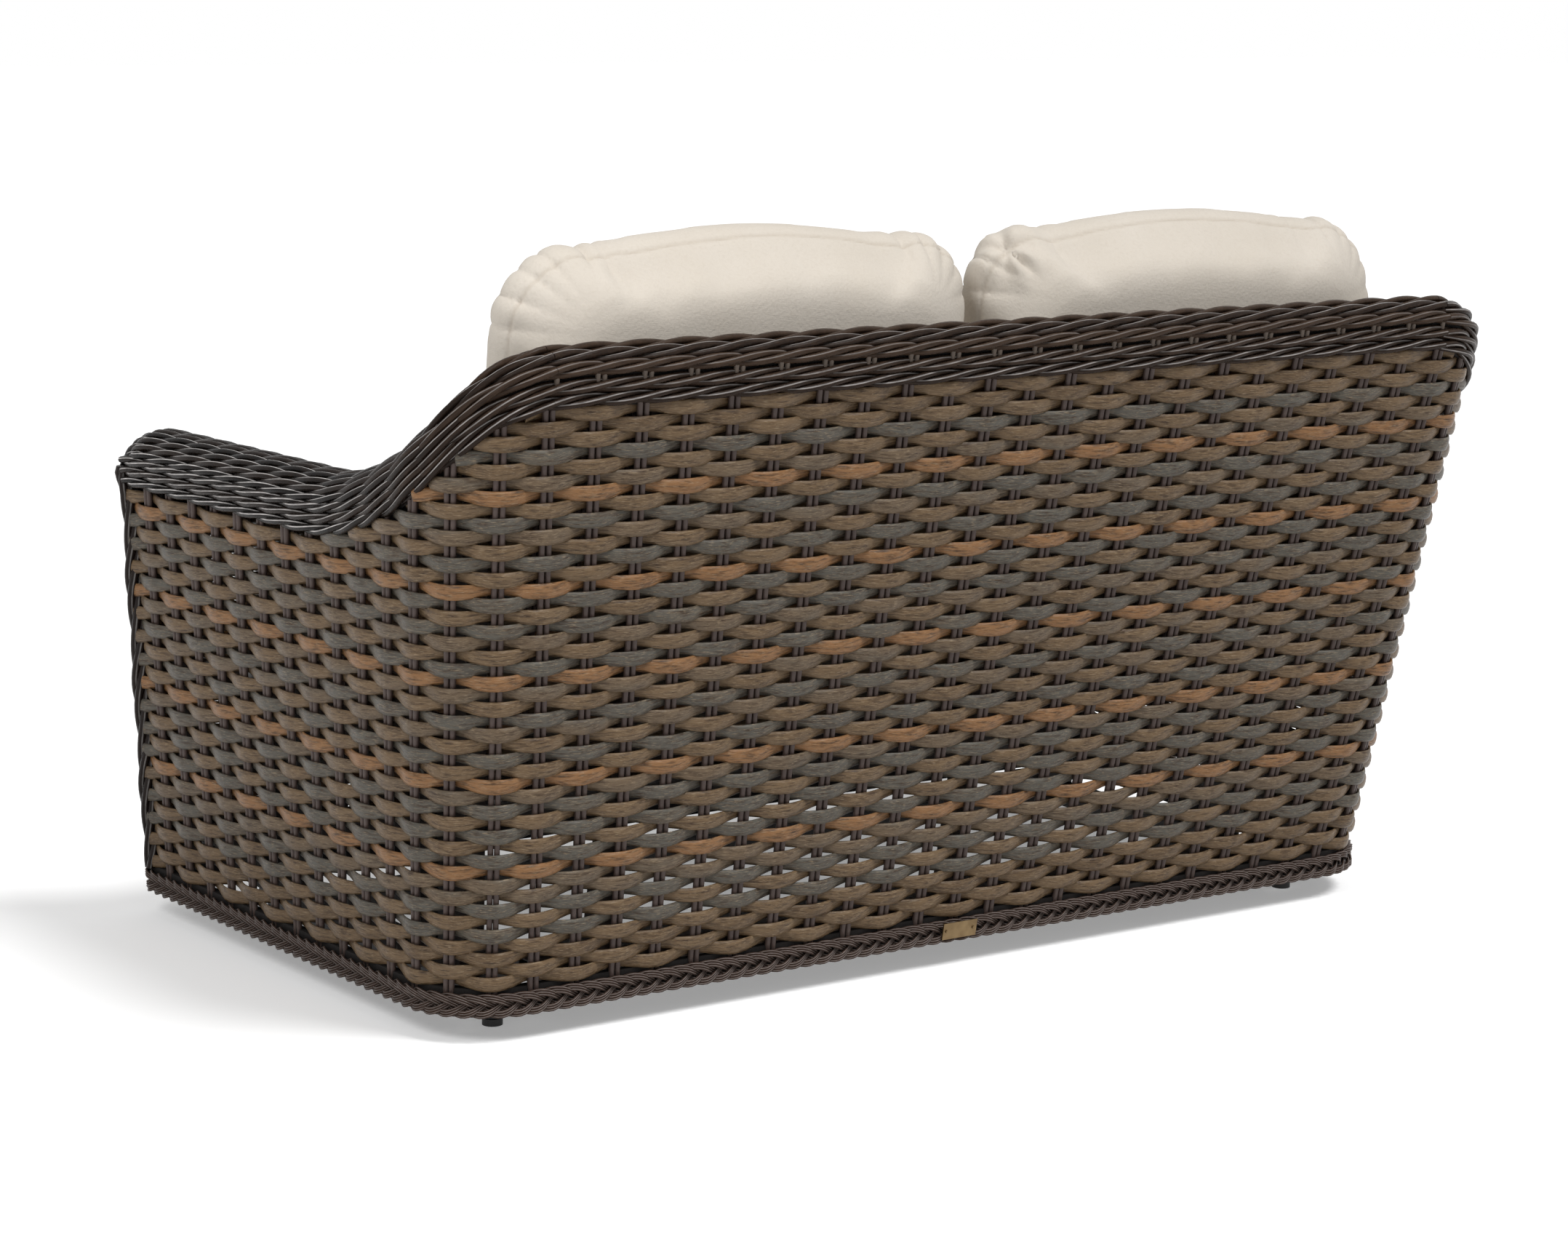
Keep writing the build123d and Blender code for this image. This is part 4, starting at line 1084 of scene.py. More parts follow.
def side_roll_guides(sign):
    """Rows of one corner and arm, with the turn over the nose."""
    guides = Guides()
    first, last = SWOOP_START / STAKE_PITCH, (NOSE_END - NOSE_LENGTH) / STAKE_PITCH
    count = ceil((last - first) * STEPS)
    for number in range(ARM_ROWS):
        start = 0.0 if number in THROUGH_ROWS else EXTRA_START + EXTRA_STAGGER * (number % 3)
        places, tones = [], []
        for stake in spread(first, last, count):
            run = stake * STAKE_PITCH
            share = roll_sizes(run)[0]
            if share < start:
                continue
            tuck = TUCK * max(0, 1 - (share - start) / TUCK_SHARE) if start else 0
            place, out, up = roll_frame(run * sign, row_share(number, share), CANE_DEPTH + tuck)
            across = up * (TWIST_WIDTH - TWIST_NARROWING * share)
            places.append((place, out, across, stake * sign))
            tones.append(BACK_TONE + (ARM_TONE - BACK_TONE) * share + row_shift(number))
        places += over_nose(number, sign, last)
        tones += [ARM_TONE + row_shift(number)] * (len(places) - len(tones))
        guides.line(level_up(places), number, tones)
    return guides


ROLL_SIZES = dict(Turn=-3.0, Across=0.0036, Outward=0.0049, Thickness=0.0080)
back_canes = woven(
    "canes_back", back_roll_guides(), twisted_rows, Material=roll_material, **ROLL_SIZES
)
side_canes = {
    sign: woven("canes_side", side_roll_guides(sign), twisted_rows, Material=roll_material,
                **ROLL_SIZES)
    for sign in (1, -1)
}

# %% [markdown]
# Under the canes lies a dark core, so nothing shows through between them. It is a skin over
# the same section, some millimetres further in, closed at both ends. The gap between the
# second and third row of the back shows the pale cut ends of the stakes.

# %% Cores of the rolls
CORE_DEPTH, CORE_SIDES, CORE_GAP = 0.0130, 24, 0.0005
END_INSET, END_FOOT, END_TOP, END_RADIUS = 0.0062, 0.028, 0.0366, 0.0031


def core(name, runs):
    mesh = bmesh.new()
    rings = []
    for run in runs:
        ring = []
        share = (abs(run) - NOSE_END + NOSE_LENGTH) / (NOSE_LENGTH - CORE_DEPTH)
        drop = nose_drop(clamped(share), CORE_DEPTH)
        upright = roll_sizes(run)[3]
        for index in range(CORE_SIDES + 1):
            inset, rise, side, up = section_point(run, index / CORE_SIDES, CORE_DEPTH)
            rise = max(rise - drop, 0) if up > 0 else min(rise, max(upright - drop, 0))
            ring.append(mesh.verts.new(roll_place(run, inset, rise)))
        rings.append(ring)
    for here, there in zip(rings, rings[1:]):
        bridge(mesh, here, there, smooth=CORE_SIDES)
    mesh.faces.new(rings[0])
    mesh.faces.new(rings[-1])
    bmesh.ops.recalc_face_normals(mesh, faces=mesh.faces)
    return from_bmesh(name, mesh, core_material)


back_core = core("core_back", spread(-SWOOP_START, SWOOP_START, 4))
ends = bmesh.new()
for number in back_numbers:
    for side in (-1, 1):
        run = number * STAKE_PITCH + side * PAIR_OFFSET
        if abs(run) < SWOOP_START:
            low, high = (roll_place(run, END_INSET, rise) for rise in (END_FOOT, END_TOP))
            stick(ends, low, high, END_RADIUS)
stake_ends = from_bmesh("stake_ends", ends, stake_end_material)
on_seat(joined("roll_back", [back_canes, back_core, stake_ends]), "back_roll", slot="wrapped_cane")
for sign, side in SIDES:
    stations = spread(SWOOP_START, SWOOP_END, 24)
    stations += spread(SWOOP_END, NOSE_END - NOSE_LENGTH, 4)[1:]
    stations += spread(NOSE_END - NOSE_LENGTH, NOSE_END - CORE_DEPTH - CORE_GAP, 8)[1:]
    side_core = core("core_side", [run * sign for run in stations])
    on_seat(
        joined("roll_" + side, [side_canes[sign], side_core]),
        side + "_corner_roll", side + "_arm_roll", slot="wrapped_cane",
    )

# %% [markdown]
# ## Ropes of the arm fronts
# Four dark strands twist slowly round each other up both edges of each arm front, and cover
# the ends of the woven rows.

# %% Four-strand ropes
ROPE_INSET, ROPE_SWAY, ROPE_TONE = 0.009, 0.0012, 0.42
ROPE_OVER_DECK, ROPE_UNDER_BRAID, ROPE_OVER_ARM = 0.0063, 0.004, 0.024
PROUD_START, PROUD_REACH, BACK_START, BACK_REACH, BACK_BEND = 0.012, 0.024, 0.016, 0.016, 0.020


def rope_guides(sign):
    """Both ropes of one arm front. Their tops come forward, then bend back under the nose."""
    guides = Guides()
    for from_inside in (False, True):
        low = DECK + ROPE_OVER_DECK if from_inside else BRAID_TOP - ROPE_UNDER_BRAID
        inset = ARM_WIDTH - ROPE_INSET if from_inside else ROPE_INSET
        places = []
        for height in spread(low, ARM_TOP + ROPE_OVER_ARM, 60):
            proud = ROPE_INSET * clamped((height - ARM_TOP + PROUD_START) / PROUD_REACH)
            back = BACK_BEND * max(0, (height - ARM_TOP - BACK_START) / BACK_REACH) ** 2
            x, y = side_point(front_line(height) + ROPE_INSET - proud + back, height, inset)
            x += ROPE_SWAY * sin(height * 47 + from_inside)
            out, up = Vector((0, -1, 0)), Vector((sign, 0, 0))
            places.append((Vector((x * sign, y, height)), out, up, height / STAKE_PITCH))
        guides.line(places, 3 + from_inside, ROPE_TONE)
    return guides


for sign, side in SIDES:
    rope = woven(
        "rope_" + side, rope_guides(sign), twisted_rows, Strands=4, Turn=3.4 * sign, Across=0.0062,
        Outward=0.0062, Thickness=0.0105, Faces=10, Material=rope_material,
    )
    on_seat(rope, side + "_front_trim", slot="wrapped_cane")

# %% [markdown]
# ## The plaited band
# Five flat elements of three canes each are plaited round the foot of the body. The band's
# path is a closed ring: the wall's foot at the back and sides, and a straight front with two
# rounded corners. Its length is shared into whole chevrons, so that the plait meets itself.

# %% Path of the band
BAND_CORNER, BAND_PROUD = 0.022, 0.006
BAND_STEPS, ELEMENTS = 4, 5
PLAIT_INSET, PLAIT_HEIGHT, CHEVRON = 0.0004, 0.0455, 0.0205
BACKING_INSETS, BACKING_HALF = (0.0055, 0.0175), 0.0165
BACKING_HEIGHT, BACKING_CHEVRON = 0.047, 0.03


def band_half(inset, height):
    """From the middle of the back round the left side to the middle of the front."""
    y_front = front_line(height) + inset
    corner_x = side_point(y_front, height, inset)[0]
    radius = BAND_CORNER - max(inset + BAND_PROUD, 0)
    setback = radius * tan(pi / 4 + SPLAY / 2)
    points = [wall_place(run, height, inset) for run in spread(0, FRONT_END - setback, 260)]
    centre = Vector((corner_x - setback, y_front + radius, height))
    for index in range(9):
        angle = SPLAY - (pi / 2 + SPLAY) * index / 8
        points.append(centre + Vector((radius * cos(angle), radius * sin(angle), 0)))
    return points + [Vector((x, y_front, height)) for x in spread(centre.x, 0, 120)[1:]]


def even_ring(inset, height, pitch):
    """The whole band in even steps, with its direction outwards and its count of chevrons."""
    half = band_half(inset, height)
    ring = half + [mirrored(point) for point in reversed(half[1:-1])]
    ring.append(ring[0].copy())
    travel = [0.0]
    for here, there in zip(ring, ring[1:]):
        travel.append(travel[-1] + (there - here).length)
    chevrons = round(travel[-1] / pitch / ELEMENTS) * ELEMENTS
    count = chevrons * BAND_STEPS
    places, at = [], 0
    for index in range(count + 1):
        target = travel[-1] * index / count
        while at < len(travel) - 2 and travel[at + 1] < target:
            at += 1
        share = (target - travel[at]) / max(travel[at + 1] - travel[at], 1e-9)
        ahead = (ring[at + 1] - ring[at]).normalized()
        out = Vector((-ahead.y, ahead.x, 0))
        place = ring[at].lerp(ring[at + 1], share)
        places.append((place, out, Vector((0, 0, 1)), index / BAND_STEPS))
    print("band", round(travel[-1], 3), "m long,", chevrons, "chevrons")
    return places


band = Guides()
band.line(even_ring(PLAIT_INSET, PLAIT_HEIGHT, CHEVRON), 1, 0.5)
plait = woven(
    "plait", band, twisted_rows, Strands=ELEMENTS, Lanes=3, Turn=float(ELEMENTS), Across=0.0100,
    Outward=0.0040, Doubling=2.0, Lead=-0.6, Lane_Rise=0.0029, Thickness=0.0031, Faces=6,
    Material=braid_material,
)


def band_backing():
    """A plain ring behind the plait, made of four loops of points."""
    mesh = bmesh.new()
    rings = [even_ring(inset, BACKING_HEIGHT, BACKING_CHEVRON) for inset in BACKING_INSETS]
    count = min(len(ring) for ring in rings) - 1
    loops = []
    for ring, side in ((0, -1), (0, 1), (1, 1), (1, -1)):
        loop = []
        for index in range(count):
            place = rings[ring][round(index * (len(rings[ring]) - 1) / count)][0]
            loop.append(mesh.verts.new(place + Vector((0, 0, side * BACKING_HALF))))
        loops.append(loop)
    for here, there in zip(loops, loops[1:] + loops[:1]):
        bridge(mesh, here, there)
    bmesh.ops.recalc_face_normals(mesh, faces=mesh.faces)
    return from_bmesh("band_core", mesh, core_material)


on_seat(
    joined("plaited_band", [plait, band_backing()]),
    "braid_back", "braid_front", "braid_left", "braid_right", slot="wrapped_cane",
)

# %% [markdown]
# ## Cushions
# A loose cushion is a stitched cloth box that its filling blows up. The mesh starts a little
# slimmer than the space it has, and Blender's cloth solver inflates it from inside: faces
# crown, sides pull in between the corners, and folds gather where the cloth is too wide.
# The seams are pressed in afterwards, because they are finer than the simulated mesh.

# %% The cushion's cloth
def cloth_finish():
    material, graph = new_finish("cream_cloth")
    place = object_place(graph)
    split = graph.node("ShaderNodeSeparateXYZ", None, place)
    waves = [(split.part(axis) * 5200.0).sine() for axis in "XYZ"]
    weave = waves[0] * waves[2] + waves[0] * waves[1] + waves[1] * waves[2]
    slub = noisy(graph, place, 260.0, 3.0)
    soft = noisy(graph, place, 7.0, 3.0)
    base = mixed(graph, (soft * 1.8 - 0.4).limited(), paint(214, 206, 195), paint(206, 197, 184))
    colour = mixed(graph, ((slub - 0.5) * 2.0).limited() * 0.5, base, paint(196, 185, 170))
    seam = carried(graph, "seam")
    colour = mixed(graph, seam * 0.35, colour, paint(170, 156, 138))
    surface(
        graph, colour, 0.86 + slub * 0.1, weave * 0.05 + slub, 0.0005, Sheen_Weight=0.12,
        Sheen_Roughness=0.5, Specular_IOR_Level=0.2,
    )
    return material


cloth_material = cloth_finish()


def rounded_outline(width, depth, radii, draws, count=12):
    """Plan of a cushion: four sides that draw in or bow out, and four round corners."""
    points = []
    corners = [(1, 1), (-1, 1), (-1, -1), (1, -1)]
    for index, (side_x, side_y) in enumerate(corners):
        radius = radii[index]
        centre = Vector(((width / 2 - radius) * side_x, (depth / 2 - radius) * side_y))
        for step in range(9):
            angle = pi / 2 * (index + step / 8)
            points.append(centre + Vector((radius * cos(angle), radius * sin(angle))))
        angle = pi / 2 * (index + 1)
        normal = Vector((cos(angle), sin(angle)))
        next_x, next_y = corners[(index + 1) % 4]
        radius = radii[(index + 1) % 4]
        after = Vector(((width / 2 - radius) * next_x, (depth / 2 - radius) * next_y))
        start, end = points[-1], after + normal * radius
        for step in range(1, count):
            share = step / count
            points.append(start.lerp(end, share) - normal * draws[index] * sin(pi * share))
    return points


def slim_cushion(width, depth, thickness, widen, radii, draws, levels):
    """A closed box with soft edges, centred on the origin, before it is filled."""
    mesh = bmesh.new()
    rings = []
    for level, inset in levels:
        ring = []
        for point in rounded_outline(width - 2 * inset, depth - 2 * inset, radii, draws):
            lean = widen * (0.5 - point.y / depth) if point.x > 0 else 0
            ring.append(mesh.verts.new((point.x + lean, point.y, level * thickness / 2)))
        rings.append(ring)
    for here, there in zip(rings, rings[1:]):
        bridge(mesh, here, there)
    mesh.faces.new(list(reversed(rings[0])))
    mesh.faces.new(rings[-1])
    return from_bmesh("slim_cushion", mesh, cloth_material)


def fill_cushion(source, voxel, cap, calm_turns):
    """Remeshes a slim cushion, inflates it and caps how far each point may move."""
    remesh = source.modifiers.new("remesh", "REMESH")
    remesh.mode, remesh.voxel_size = "VOXEL", voxel
    pad = as_piece("filled_cushion", source)
    start = [vertex.co.copy() for vertex in pad.data.vertices]
    cloth = pad.modifiers.new("cloth", "CLOTH")
    settings = cloth.settings
    settings.quality, settings.mass = 5, 0.25
    settings.use_pressure, settings.uniform_pressure_force = True, 4
    settings.tension_stiffness = settings.compression_stiffness = 12
    settings.bending_stiffness = 0.4
    settings.effector_weights.gravity = 0
    for turn in range(1, 21):
        bpy.context.scene.frame_set(turn)
    graph = bpy.context.evaluated_depsgraph_get()
    moved = [vertex.co.copy() for vertex in pad.evaluated_get(graph).data.vertices]
    pad.modifiers.remove(cloth)
    furthest = 0
    for vertex, here, there in zip(pad.data.vertices, start, moved):
        step = there - here
        furthest = max(furthest, step.length)
        vertex.co = here + (step * (cap / step.length) if step.length > cap else step)
    print("cloth moved up to", round(furthest, 4))
    bpy.context.scene.frame_set(1)
    calm = pad.modifiers.new("calm", "SMOOTH")
    calm.factor, calm.iterations = 0.5, calm_turns
    return as_piece("filled_cushion", pad)


print("cushion helpers ready")

# %% Finish of one cushion
def fitted(pad, width, depth, thickness, low_flat):
    """Scales the filled form to its space, and flattens what it rests on."""
    points = [vertex.co for vertex in pad.data.vertices]
    for axis, size in enumerate((width, depth, thickness)):
        low, high = min(p[axis] for p in points), max(p[axis] for p in points)
        for point in points:
            point[axis] = (point[axis] - (low + high) / 2) * size / (high - low)
    level = low_flat - thickness / 2
    for point in points:
        if point.z < level:
            point.z = level - (level - point.z) * 0.35


def round_corner(along, reach):
    """How much cloth is gathered at a place along the seam: all in a corner, none far off."""
    return clamped((along + 0.03) / 0.03) * clamped((reach + 0.07 - along) / 0.05)


SEAM_HALF, SEAM_DEPTH, SEAM_BAND, SEAM_SWAY = 0.0024, 0.0022, 0.06, 0.0015
GATHER_DEPTH, GATHER_PITCH, GATHER_DRIFT, GATHER_LENGTH = 0.0066, 0.038, 0.018, 0.030
PUCKER_DEPTH, PUCKER_REACH = 0.0010, 0.012
PINCH_REACH, PINCH_RING, PINCH_WIDTH, PINCH_DEPTH, PINCH_HOLE = 0.09, 0.028, 0.022, 0.013, 0.011


def fade(amount):
    """One where the amount is nothing, and ever less beyond."""
    return 2.718 ** -amount


def seams(pad, size, radii, lines, seed, pinch=False):
    """Presses in the two seams round the box, gathers the corners and adds soft hollows."""
    width, depth = size[:2]
    subdivide = pad.modifiers.new("finer", "SUBSURF")
    subdivide.levels = subdivide.render_levels = 1
    pad = as_piece("cushion", pad)
    mesh = pad.data
    values = []
    normals = [vertex.normal.copy() for vertex in mesh.vertices]
    knot = Vector((-width / 2 + radii[1] * 0.45, depth / 2 - radii[1] * 0.35, lines[0]))
    for vertex, normal in zip(mesh.vertices, normals):
        point = vertex.co.copy()
        quarter = (0 if point.x > 0 else 1) if point.y > 0 else (3 if point.x > 0 else 2)
        corner = radii[quarter]
        x_reach = abs(point.x) - (width / 2 - corner)
        y_reach = abs(point.y) - (depth / 2 - corner)
        edge = max(abs(point.x) - width / 2, abs(point.y) - depth / 2)
        angle = atan2(max(y_reach, 0), max(x_reach, 0)) if max(x_reach, y_reach) > 0 else pi / 4
        if min(x_reach, y_reach) > 0:
            edge = sqrt(x_reach ** 2 + y_reach ** 2) - corner
        along = angle * corner + min(y_reach, 0) * (x_reach > y_reach)
        along += max(-x_reach, 0) * (y_reach > x_reach)
        seam = 0.0
        for line in lines:
            sway = SEAM_SWAY * noise.noise(Vector((point.x * 6, point.y * 6, seed)))
            away = abs(point.z - line - sway)
            seam = max(seam, (1 - away / SEAM_HALF) * (edge > -SEAM_BAND))
            gathered = round_corner(along, corner * pi / 2)
            drift = GATHER_DRIFT * noise.noise(Vector((along * 22, seed, quarter)))
            valley = abs(sin(pi * (along + drift) / GATHER_PITCH)) ** 0.40 - 0.66
            fold = round(along / 0.036) * 3.1
            length = GATHER_LENGTH + 0.026 * noise.noise(Vector((fold, seed, 5)))
            away_from_line = away + max(0, -edge - 0.020) * 0.8
            point += normal * (GATHER_DEPTH * valley * gathered * fade(away_from_line / length))
            pucker = noise.noise(Vector((point.x * 45, point.y * 45, seed)))
            pucker = PUCKER_DEPTH * pucker * fade(away / PUCKER_REACH) * (edge > -SEAM_BAND)
            point += normal * pucker
        point += normal * (-SEAM_DEPTH * max(seam, 0))
        if pinch:
            offset = point - knot
            far = offset.length
            if far < PINCH_REACH:
                turn = atan2(offset.z, offset.x + offset.y * 0.7)
                ring = fade(((far - PINCH_RING) / PINCH_WIDTH) ** 2)
                point += normal * (ring * (0.003 + 0.004 * sin(turn * 5 + seed)))
                point += normal * (-PINCH_DEPTH * fade((far / PINCH_HOLE) ** 2))
        soft = noise.noise(Vector((point.x * 5 + seed, point.y * 5, point.z * 5)))
        fold = noise.noise(Vector((point.x * 11 + seed * 3, point.y * 17, point.z * 6)))
        vertex.co = point + normal * (soft * 0.0035 + fold * 0.0010)
        values.append(max(seam, 0.0))
    mesh.attributes.new("seam", "FLOAT", "POINT").data.foreach_set("value", values)
    for face in mesh.polygons:
        face.use_smooth = True
    mesh.update()
    return pad


def placed(pad, name, turn, middle, mirror):
    """Stands the cushion in its place, or its mirror image on the other side."""
    mesh = pad.data
    for vertex in mesh.vertices:
        point = vertex.co
        y = point.y * cos(turn) - point.z * sin(turn)
        z = point.y * sin(turn) + point.z * cos(turn)
        vertex.co = Vector(((point.x + middle.x) * mirror, y + middle.y, z + middle.z))
    if mirror < 0:
        mesh.flip_normals()
    mesh.materials.clear()
    mesh.materials.append(cloth_material)
    pad.name = mesh.name = "soft_" + name
    on_seat(pad, name, slot="cushion_cloth")


def copied(pad):
    return in_scene("cushion_copy", pad.data.copy())


seat_low, seat_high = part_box("left_seat_cushion")
back_low, back_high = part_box("left_back_cushion")
print("seat cushion space", [round(v, 3) for v in seat_high - seat_low])
print("back cushion space", [round(v, 3) for v in back_high - back_low])

# %% Seat and back cushions
BACK_LEAN_ANGLE = 5.5
STAND = radians(90 - BACK_LEAN_ANGLE)
SEAT_SLIM, BACK_SLIM, SEAT_WIDENING = (0.600, 0.645, 0.092), (0.600, 0.430, 0.104), 0.012
seat_size, back_size = (0.634, 0.674, 0.124), (0.632, 0.460, 0.142)
seat_radii, back_radii = (0.045, 0.045, 0.05, 0.05), (0.10, 0.085, 0.05, 0.05)
SEAT_LEVELS = [(-1, 0.055), (-0.86, 0.018), (-0.6, 0.004), (0, 0), (0.6, 0.004), (0.86, 0.018),
               (1, 0.055)]
BACK_LEVELS = [(-1, 0.115), (-0.88, 0.070), (-0.62, 0.034), (-0.28, 0.010), (0.05, 0), (0.6, 0),
               (0.84, 0.016), (1, 0.060)]
seat_draws, back_draws = (0.004, 0.004, 0.0, 0.004), (-0.020, 0.0, 0.004, 0.0)
SEAT_SEAMS, BACK_SEAMS = (-0.040, 0.040), (-0.012, 0.050)
seat_pad = fill_cushion(
    slim_cushion(*SEAT_SLIM, SEAT_WIDENING, seat_radii, seat_draws, SEAT_LEVELS),
    voxel=0.0085, cap=0.024, calm_turns=6,
)
fitted(seat_pad, *seat_size, low_flat=0.014)
back_pad = fill_cushion(
    slim_cushion(*BACK_SLIM, 0.0, back_radii, back_draws, BACK_LEVELS),
    voxel=0.0075, cap=0.026, calm_turns=14,
)
fitted(back_pad, *back_size, low_flat=0.004)
seat_middle, back_middle = (seat_low + seat_high) / 2, (back_low + back_high) / 2
for mirror, side in SIDES:
    pad = seams(copied(seat_pad), seat_size, seat_radii, SEAT_SEAMS, 2.0 + mirror)
    placed(pad, side + "_seat_cushion", 0, seat_middle, mirror)
    pad = seams(
        copied(back_pad), back_size, back_radii, BACK_SEAMS, 7.0 + mirror, mirror < 0
    )
    placed(pad, side + "_back_cushion", STAND, back_middle, mirror)
for unused in (seat_pad, back_pad):
    bpy.data.objects.remove(unused)

# %% [markdown]
# ## Frame, base and fittings
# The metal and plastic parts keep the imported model's exact shapes. They only need finishes:
# dark powder coat with a fine orange-peel skin, dull plated steel, pale nylon, black plastic,
# brushed brass and ribbed webbing.

# %% Finishes of the hard parts
def powder_coat(name, colour, worn):
    material, graph = new_finish(name)
    place = object_place(graph)
    peel, patch = noisy(graph, place, 900.0, 1.0), noisy(graph, place, 12.0, 4.0)
    base = mixed(graph, ((patch - 0.5) * 3.0).limited() * 0.6, colour, worn)
    surface(graph, base, 0.42 + patch * 0.15, peel, 0.0002, Specular_IOR_Level=0.5)
    return material


def brushed_metal(name, colour, other, roughness, direction):
    material, graph = new_finish(name)
    place = object_place(graph)
    stretched = graph.node("ShaderNodeMapping", None, place, Scale=direction)
    lines, cloud = noisy(graph, stretched, 1.0, 3.0), noisy(graph, place, 60.0, 3.0)
    base = mixed(graph, (cloud * 2.2 - 0.6).limited(), colour, other)
    surface(graph, base, roughness + (lines - 0.5) * 0.3, lines, 0.0001, Metallic=1.0)
    return material


def moulded(name, colour, other, roughness):
    material, graph = new_finish(name)
    place = object_place(graph)
    grain, cloud = noisy(graph, place, 700.0, 2.0), noisy(graph, place, 40.0, 2.0)
    surface(
        graph, mixed(graph, cloud, colour, other), roughness + (grain - 0.5) * 0.2, grain, 0.0001
    )
    return material


def webbing_finish():
    material, graph = new_finish("ribbed_webbing")
    place = object_place(graph)
    split = graph.node("ShaderNodeSeparateXYZ", None, place)
    ribs = (split.part("X") * 2800.0).sine() * (split.part("Y") * 1900.0).sine()
    base = mixed(graph, noisy(graph, place, 30.0, 2.0), paint(58, 52, 48), paint(40, 36, 34))
    surface(graph, base, 0.8 + ribs * 0.05, ribs, 0.0004)
    return material


coat = powder_coat("bronze_coat", paint(52, 42, 36), paint(68, 56, 48))
base_coat = powder_coat("dark_coat", paint(38, 33, 30), paint(52, 46, 42))
steel = brushed_metal(
    "plated_steel", paint(178, 176, 170), paint(140, 138, 134), 0.35, (40, 900, 900)
)
brass = brushed_metal("dull_brass", paint(134, 114, 84), paint(104, 86, 62), 0.42, (60, 60, 1600))
FINISHES = {
    "body_frame": coat, "base_frame": base_coat, "links": base_coat, "plate": brass,
    "bushes": moulded("pale_nylon", paint(206, 202, 192), paint(190, 186, 176), 0.5),
    "glides": moulded("black_plastic", paint(34, 33, 33), paint(46, 45, 44), 0.55),
    "webbing": webbing_finish(), "pins": steel, "woven_strand": strand_material,
    "wrapped_cane": rope_material, "cushion_cloth": cloth_material,
}
for part in frame["record"]["subparts"]:
    packed = nodes[part["node"]]
    finish = FINISHES[part["material_slot"]]
    if part["node"] == "plate_nails":
        finish = brass
    if not packed.material_slots:
        packed.data.materials.append(finish)
    for slot in packed.material_slots:
        slot.material = finish

# %% [markdown]
# ## Floor, light and camera
# The photograph shows the piece on pure white with a soft grey shadow. The floor is white
# and matt, and a part of it glows for the camera only, which lifts it to white while the
# shadow stays. A broad soft sun stands high behind the right side, a lamp stands high behind
# the left side, and the white surroundings fill in the rest.

# %% Floor and surroundings
def glow_share(graph, share):
    """A share for rays that come from the camera, a mirror or glass, and none for light."""
    path = graph.node("ShaderNodeLightPath")
    seen = path.part("Is Camera Ray").most(path.part("Is Glossy Ray"))
    return seen.most(path.part("Is Transmission Ray")) * share


floor_mesh = bmesh.new()
bmesh.ops.create_grid(floor_mesh, x_segments=8, y_segments=8, size=30)
floor_material, graph = new_finish("studio_floor")
matt = graph.node("ShaderNodeBsdfDiffuse", None, paint(246, 246, 246))
glow = graph.node("ShaderNodeEmission", None, (1, 1, 1, 1), 0.3)
glow = graph.node("ShaderNodeMixShader", None, glow_share(graph, 1.0), None, glow)
both = graph.node("ShaderNodeAddShader", None, matt, glow)
graph.node("ShaderNodeOutputMaterial", None, Surface=both)
studio_floor = from_bmesh("studio_floor", floor_mesh, floor_material)

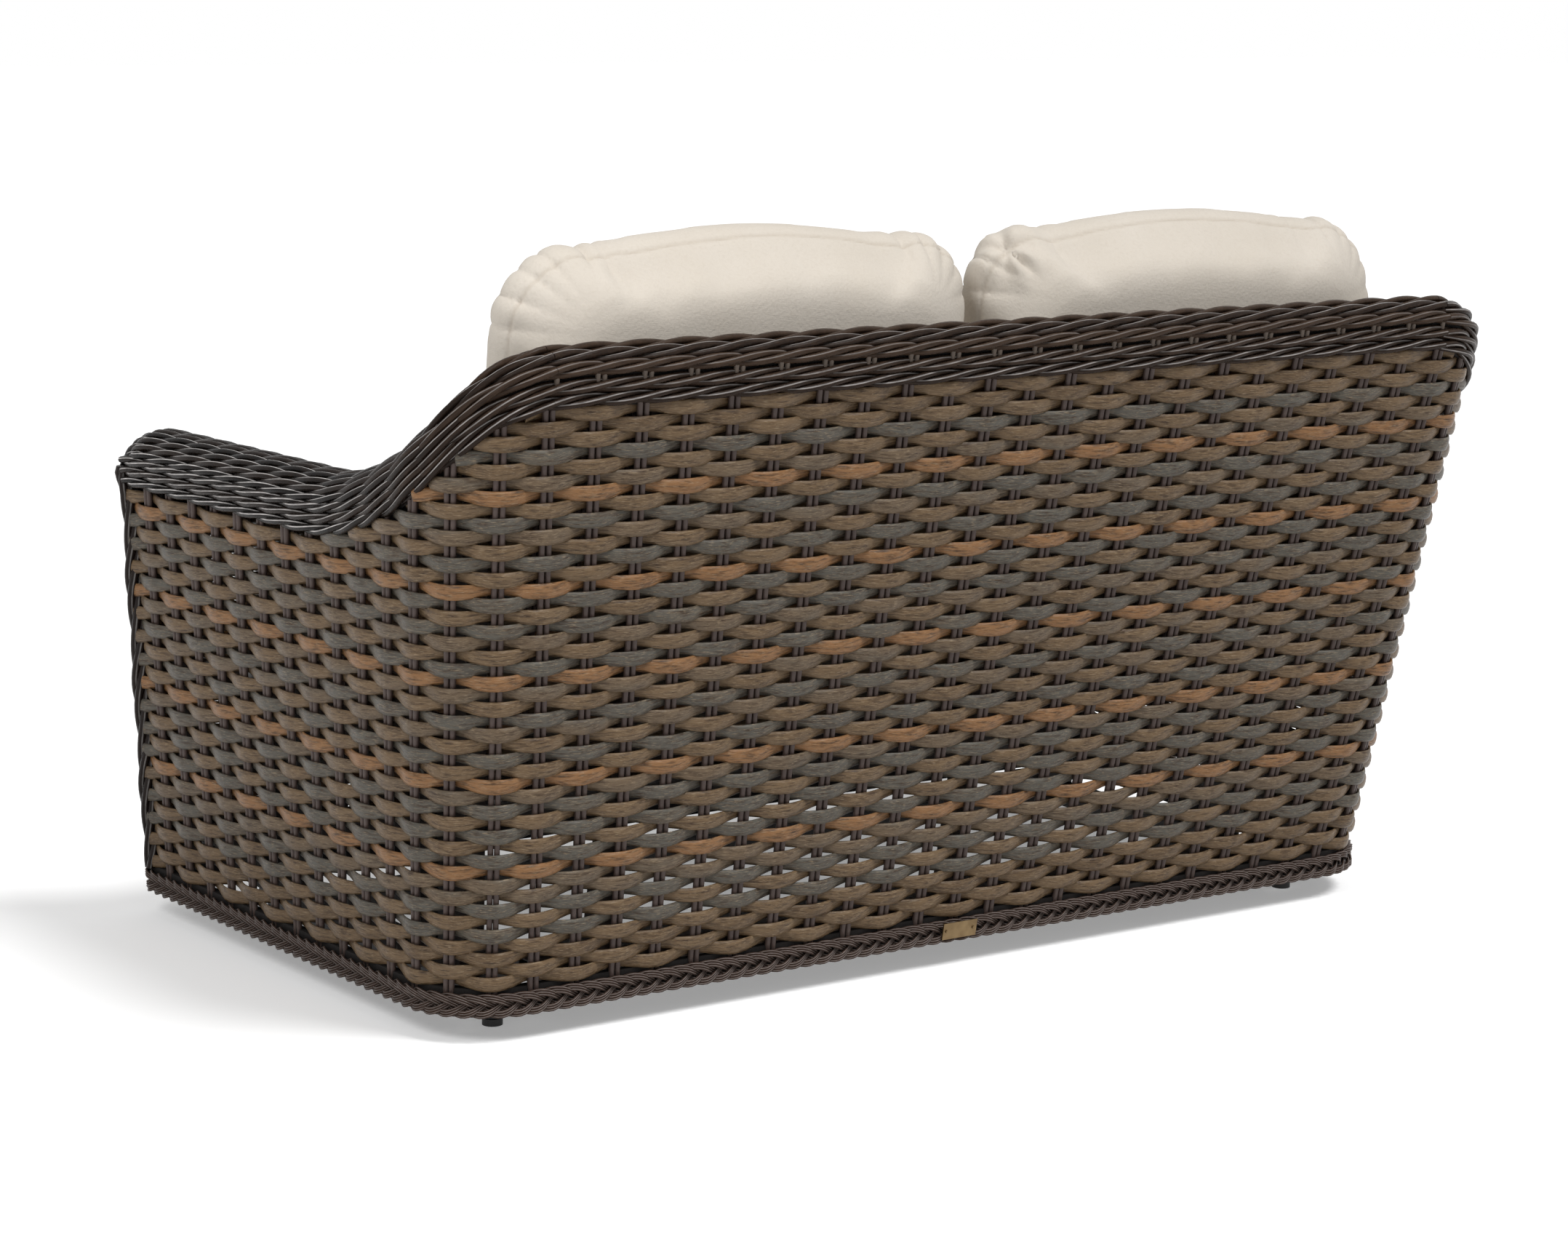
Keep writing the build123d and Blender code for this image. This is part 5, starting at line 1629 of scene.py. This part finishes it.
world = bpy.data.worlds.new("white_studio")
bpy.context.scene.world = world
world.use_nodes = True
world.node_tree.nodes.clear()
graph = Graph(world.node_tree)
dim = graph.node("ShaderNodeBackground", None, (1, 1, 1, 1), 0.3)
bright = graph.node("ShaderNodeBackground", None, (1, 1, 1, 1), 1.0)
sky = graph.node("ShaderNodeMixShader", None, glow_share(graph, 1.0), dim, bright)
graph.node("ShaderNodeOutputWorld", None, Surface=sky)
print("floor and world ready")

# %% Lamps
def aimed(name, kind, direction, energy):
    """A lamp of one kind that shines along a direction."""
    lamp = bpy.data.lights.new(name, kind)
    lamp.energy = energy
    made = in_scene(name, lamp)
    made.rotation_mode = "QUATERNION"
    made.rotation_quaternion = direction.to_track_quat("-Z", "Y")
    return made


def soft_lamp(name, place, target, size, power):
    made = aimed(name, "AREA", Vector(target) - Vector(place), power)
    made.location = place
    made.data.shape, made.data.size = "DISK", size


def soft_sun(name, direction, strength, angle):
    aimed(name, "SUN", -Vector(direction), strength).data.angle = radians(angle)


soft_sun("key_sun", (-1.1, 1.9, 3.6), 2.15, 22)
soft_lamp("side_lamp", (3.6, 1.7, 3.3), (0.4, 0, 0.5), 1.8, 75)
print("lamps ready")

# %% The camera
# The camera stands behind the left rear corner, a little above the back. Its direction is
# written as three unit vectors: to the right of the picture, up the picture, and backwards.
YAW, PITCH, ROLL = 0.5983, 0.1839, 0.0137
STAND_POINT = (2.5785, 3.7055, 1.2075)
SENSOR_WIDTH, FOCAL_LENGTH, FURTHEST = 36, 83.49, 100
backwards = Vector((sin(YAW) * cos(PITCH), cos(YAW) * cos(PITCH), sin(PITCH)))
rightwards = Vector((-cos(YAW), sin(YAW), 0))
upwards = rightwards.cross(-backwards)
turned_right = rightwards * cos(ROLL) + upwards * sin(ROLL)
turned_up = upwards * cos(ROLL) - rightwards * sin(ROLL)
lens = bpy.data.cameras.new("camera")
lens.sensor_fit, lens.clip_end = "HORIZONTAL", FURTHEST
lens.sensor_width, lens.lens = SENSOR_WIDTH, FOCAL_LENGTH
camera = in_scene("camera", lens)
rows = [(turned_right[i], turned_up[i], backwards[i]) for i in range(3)]
camera.rotation_mode = "QUATERNION"
camera.rotation_quaternion = Matrix(rows).to_quaternion()
camera.location = STAND_POINT
bpy.context.scene.camera = camera
bpy.context.scene.view_settings.view_transform = "Standard"
print("camera", [round(value, 3) for value in camera.location])
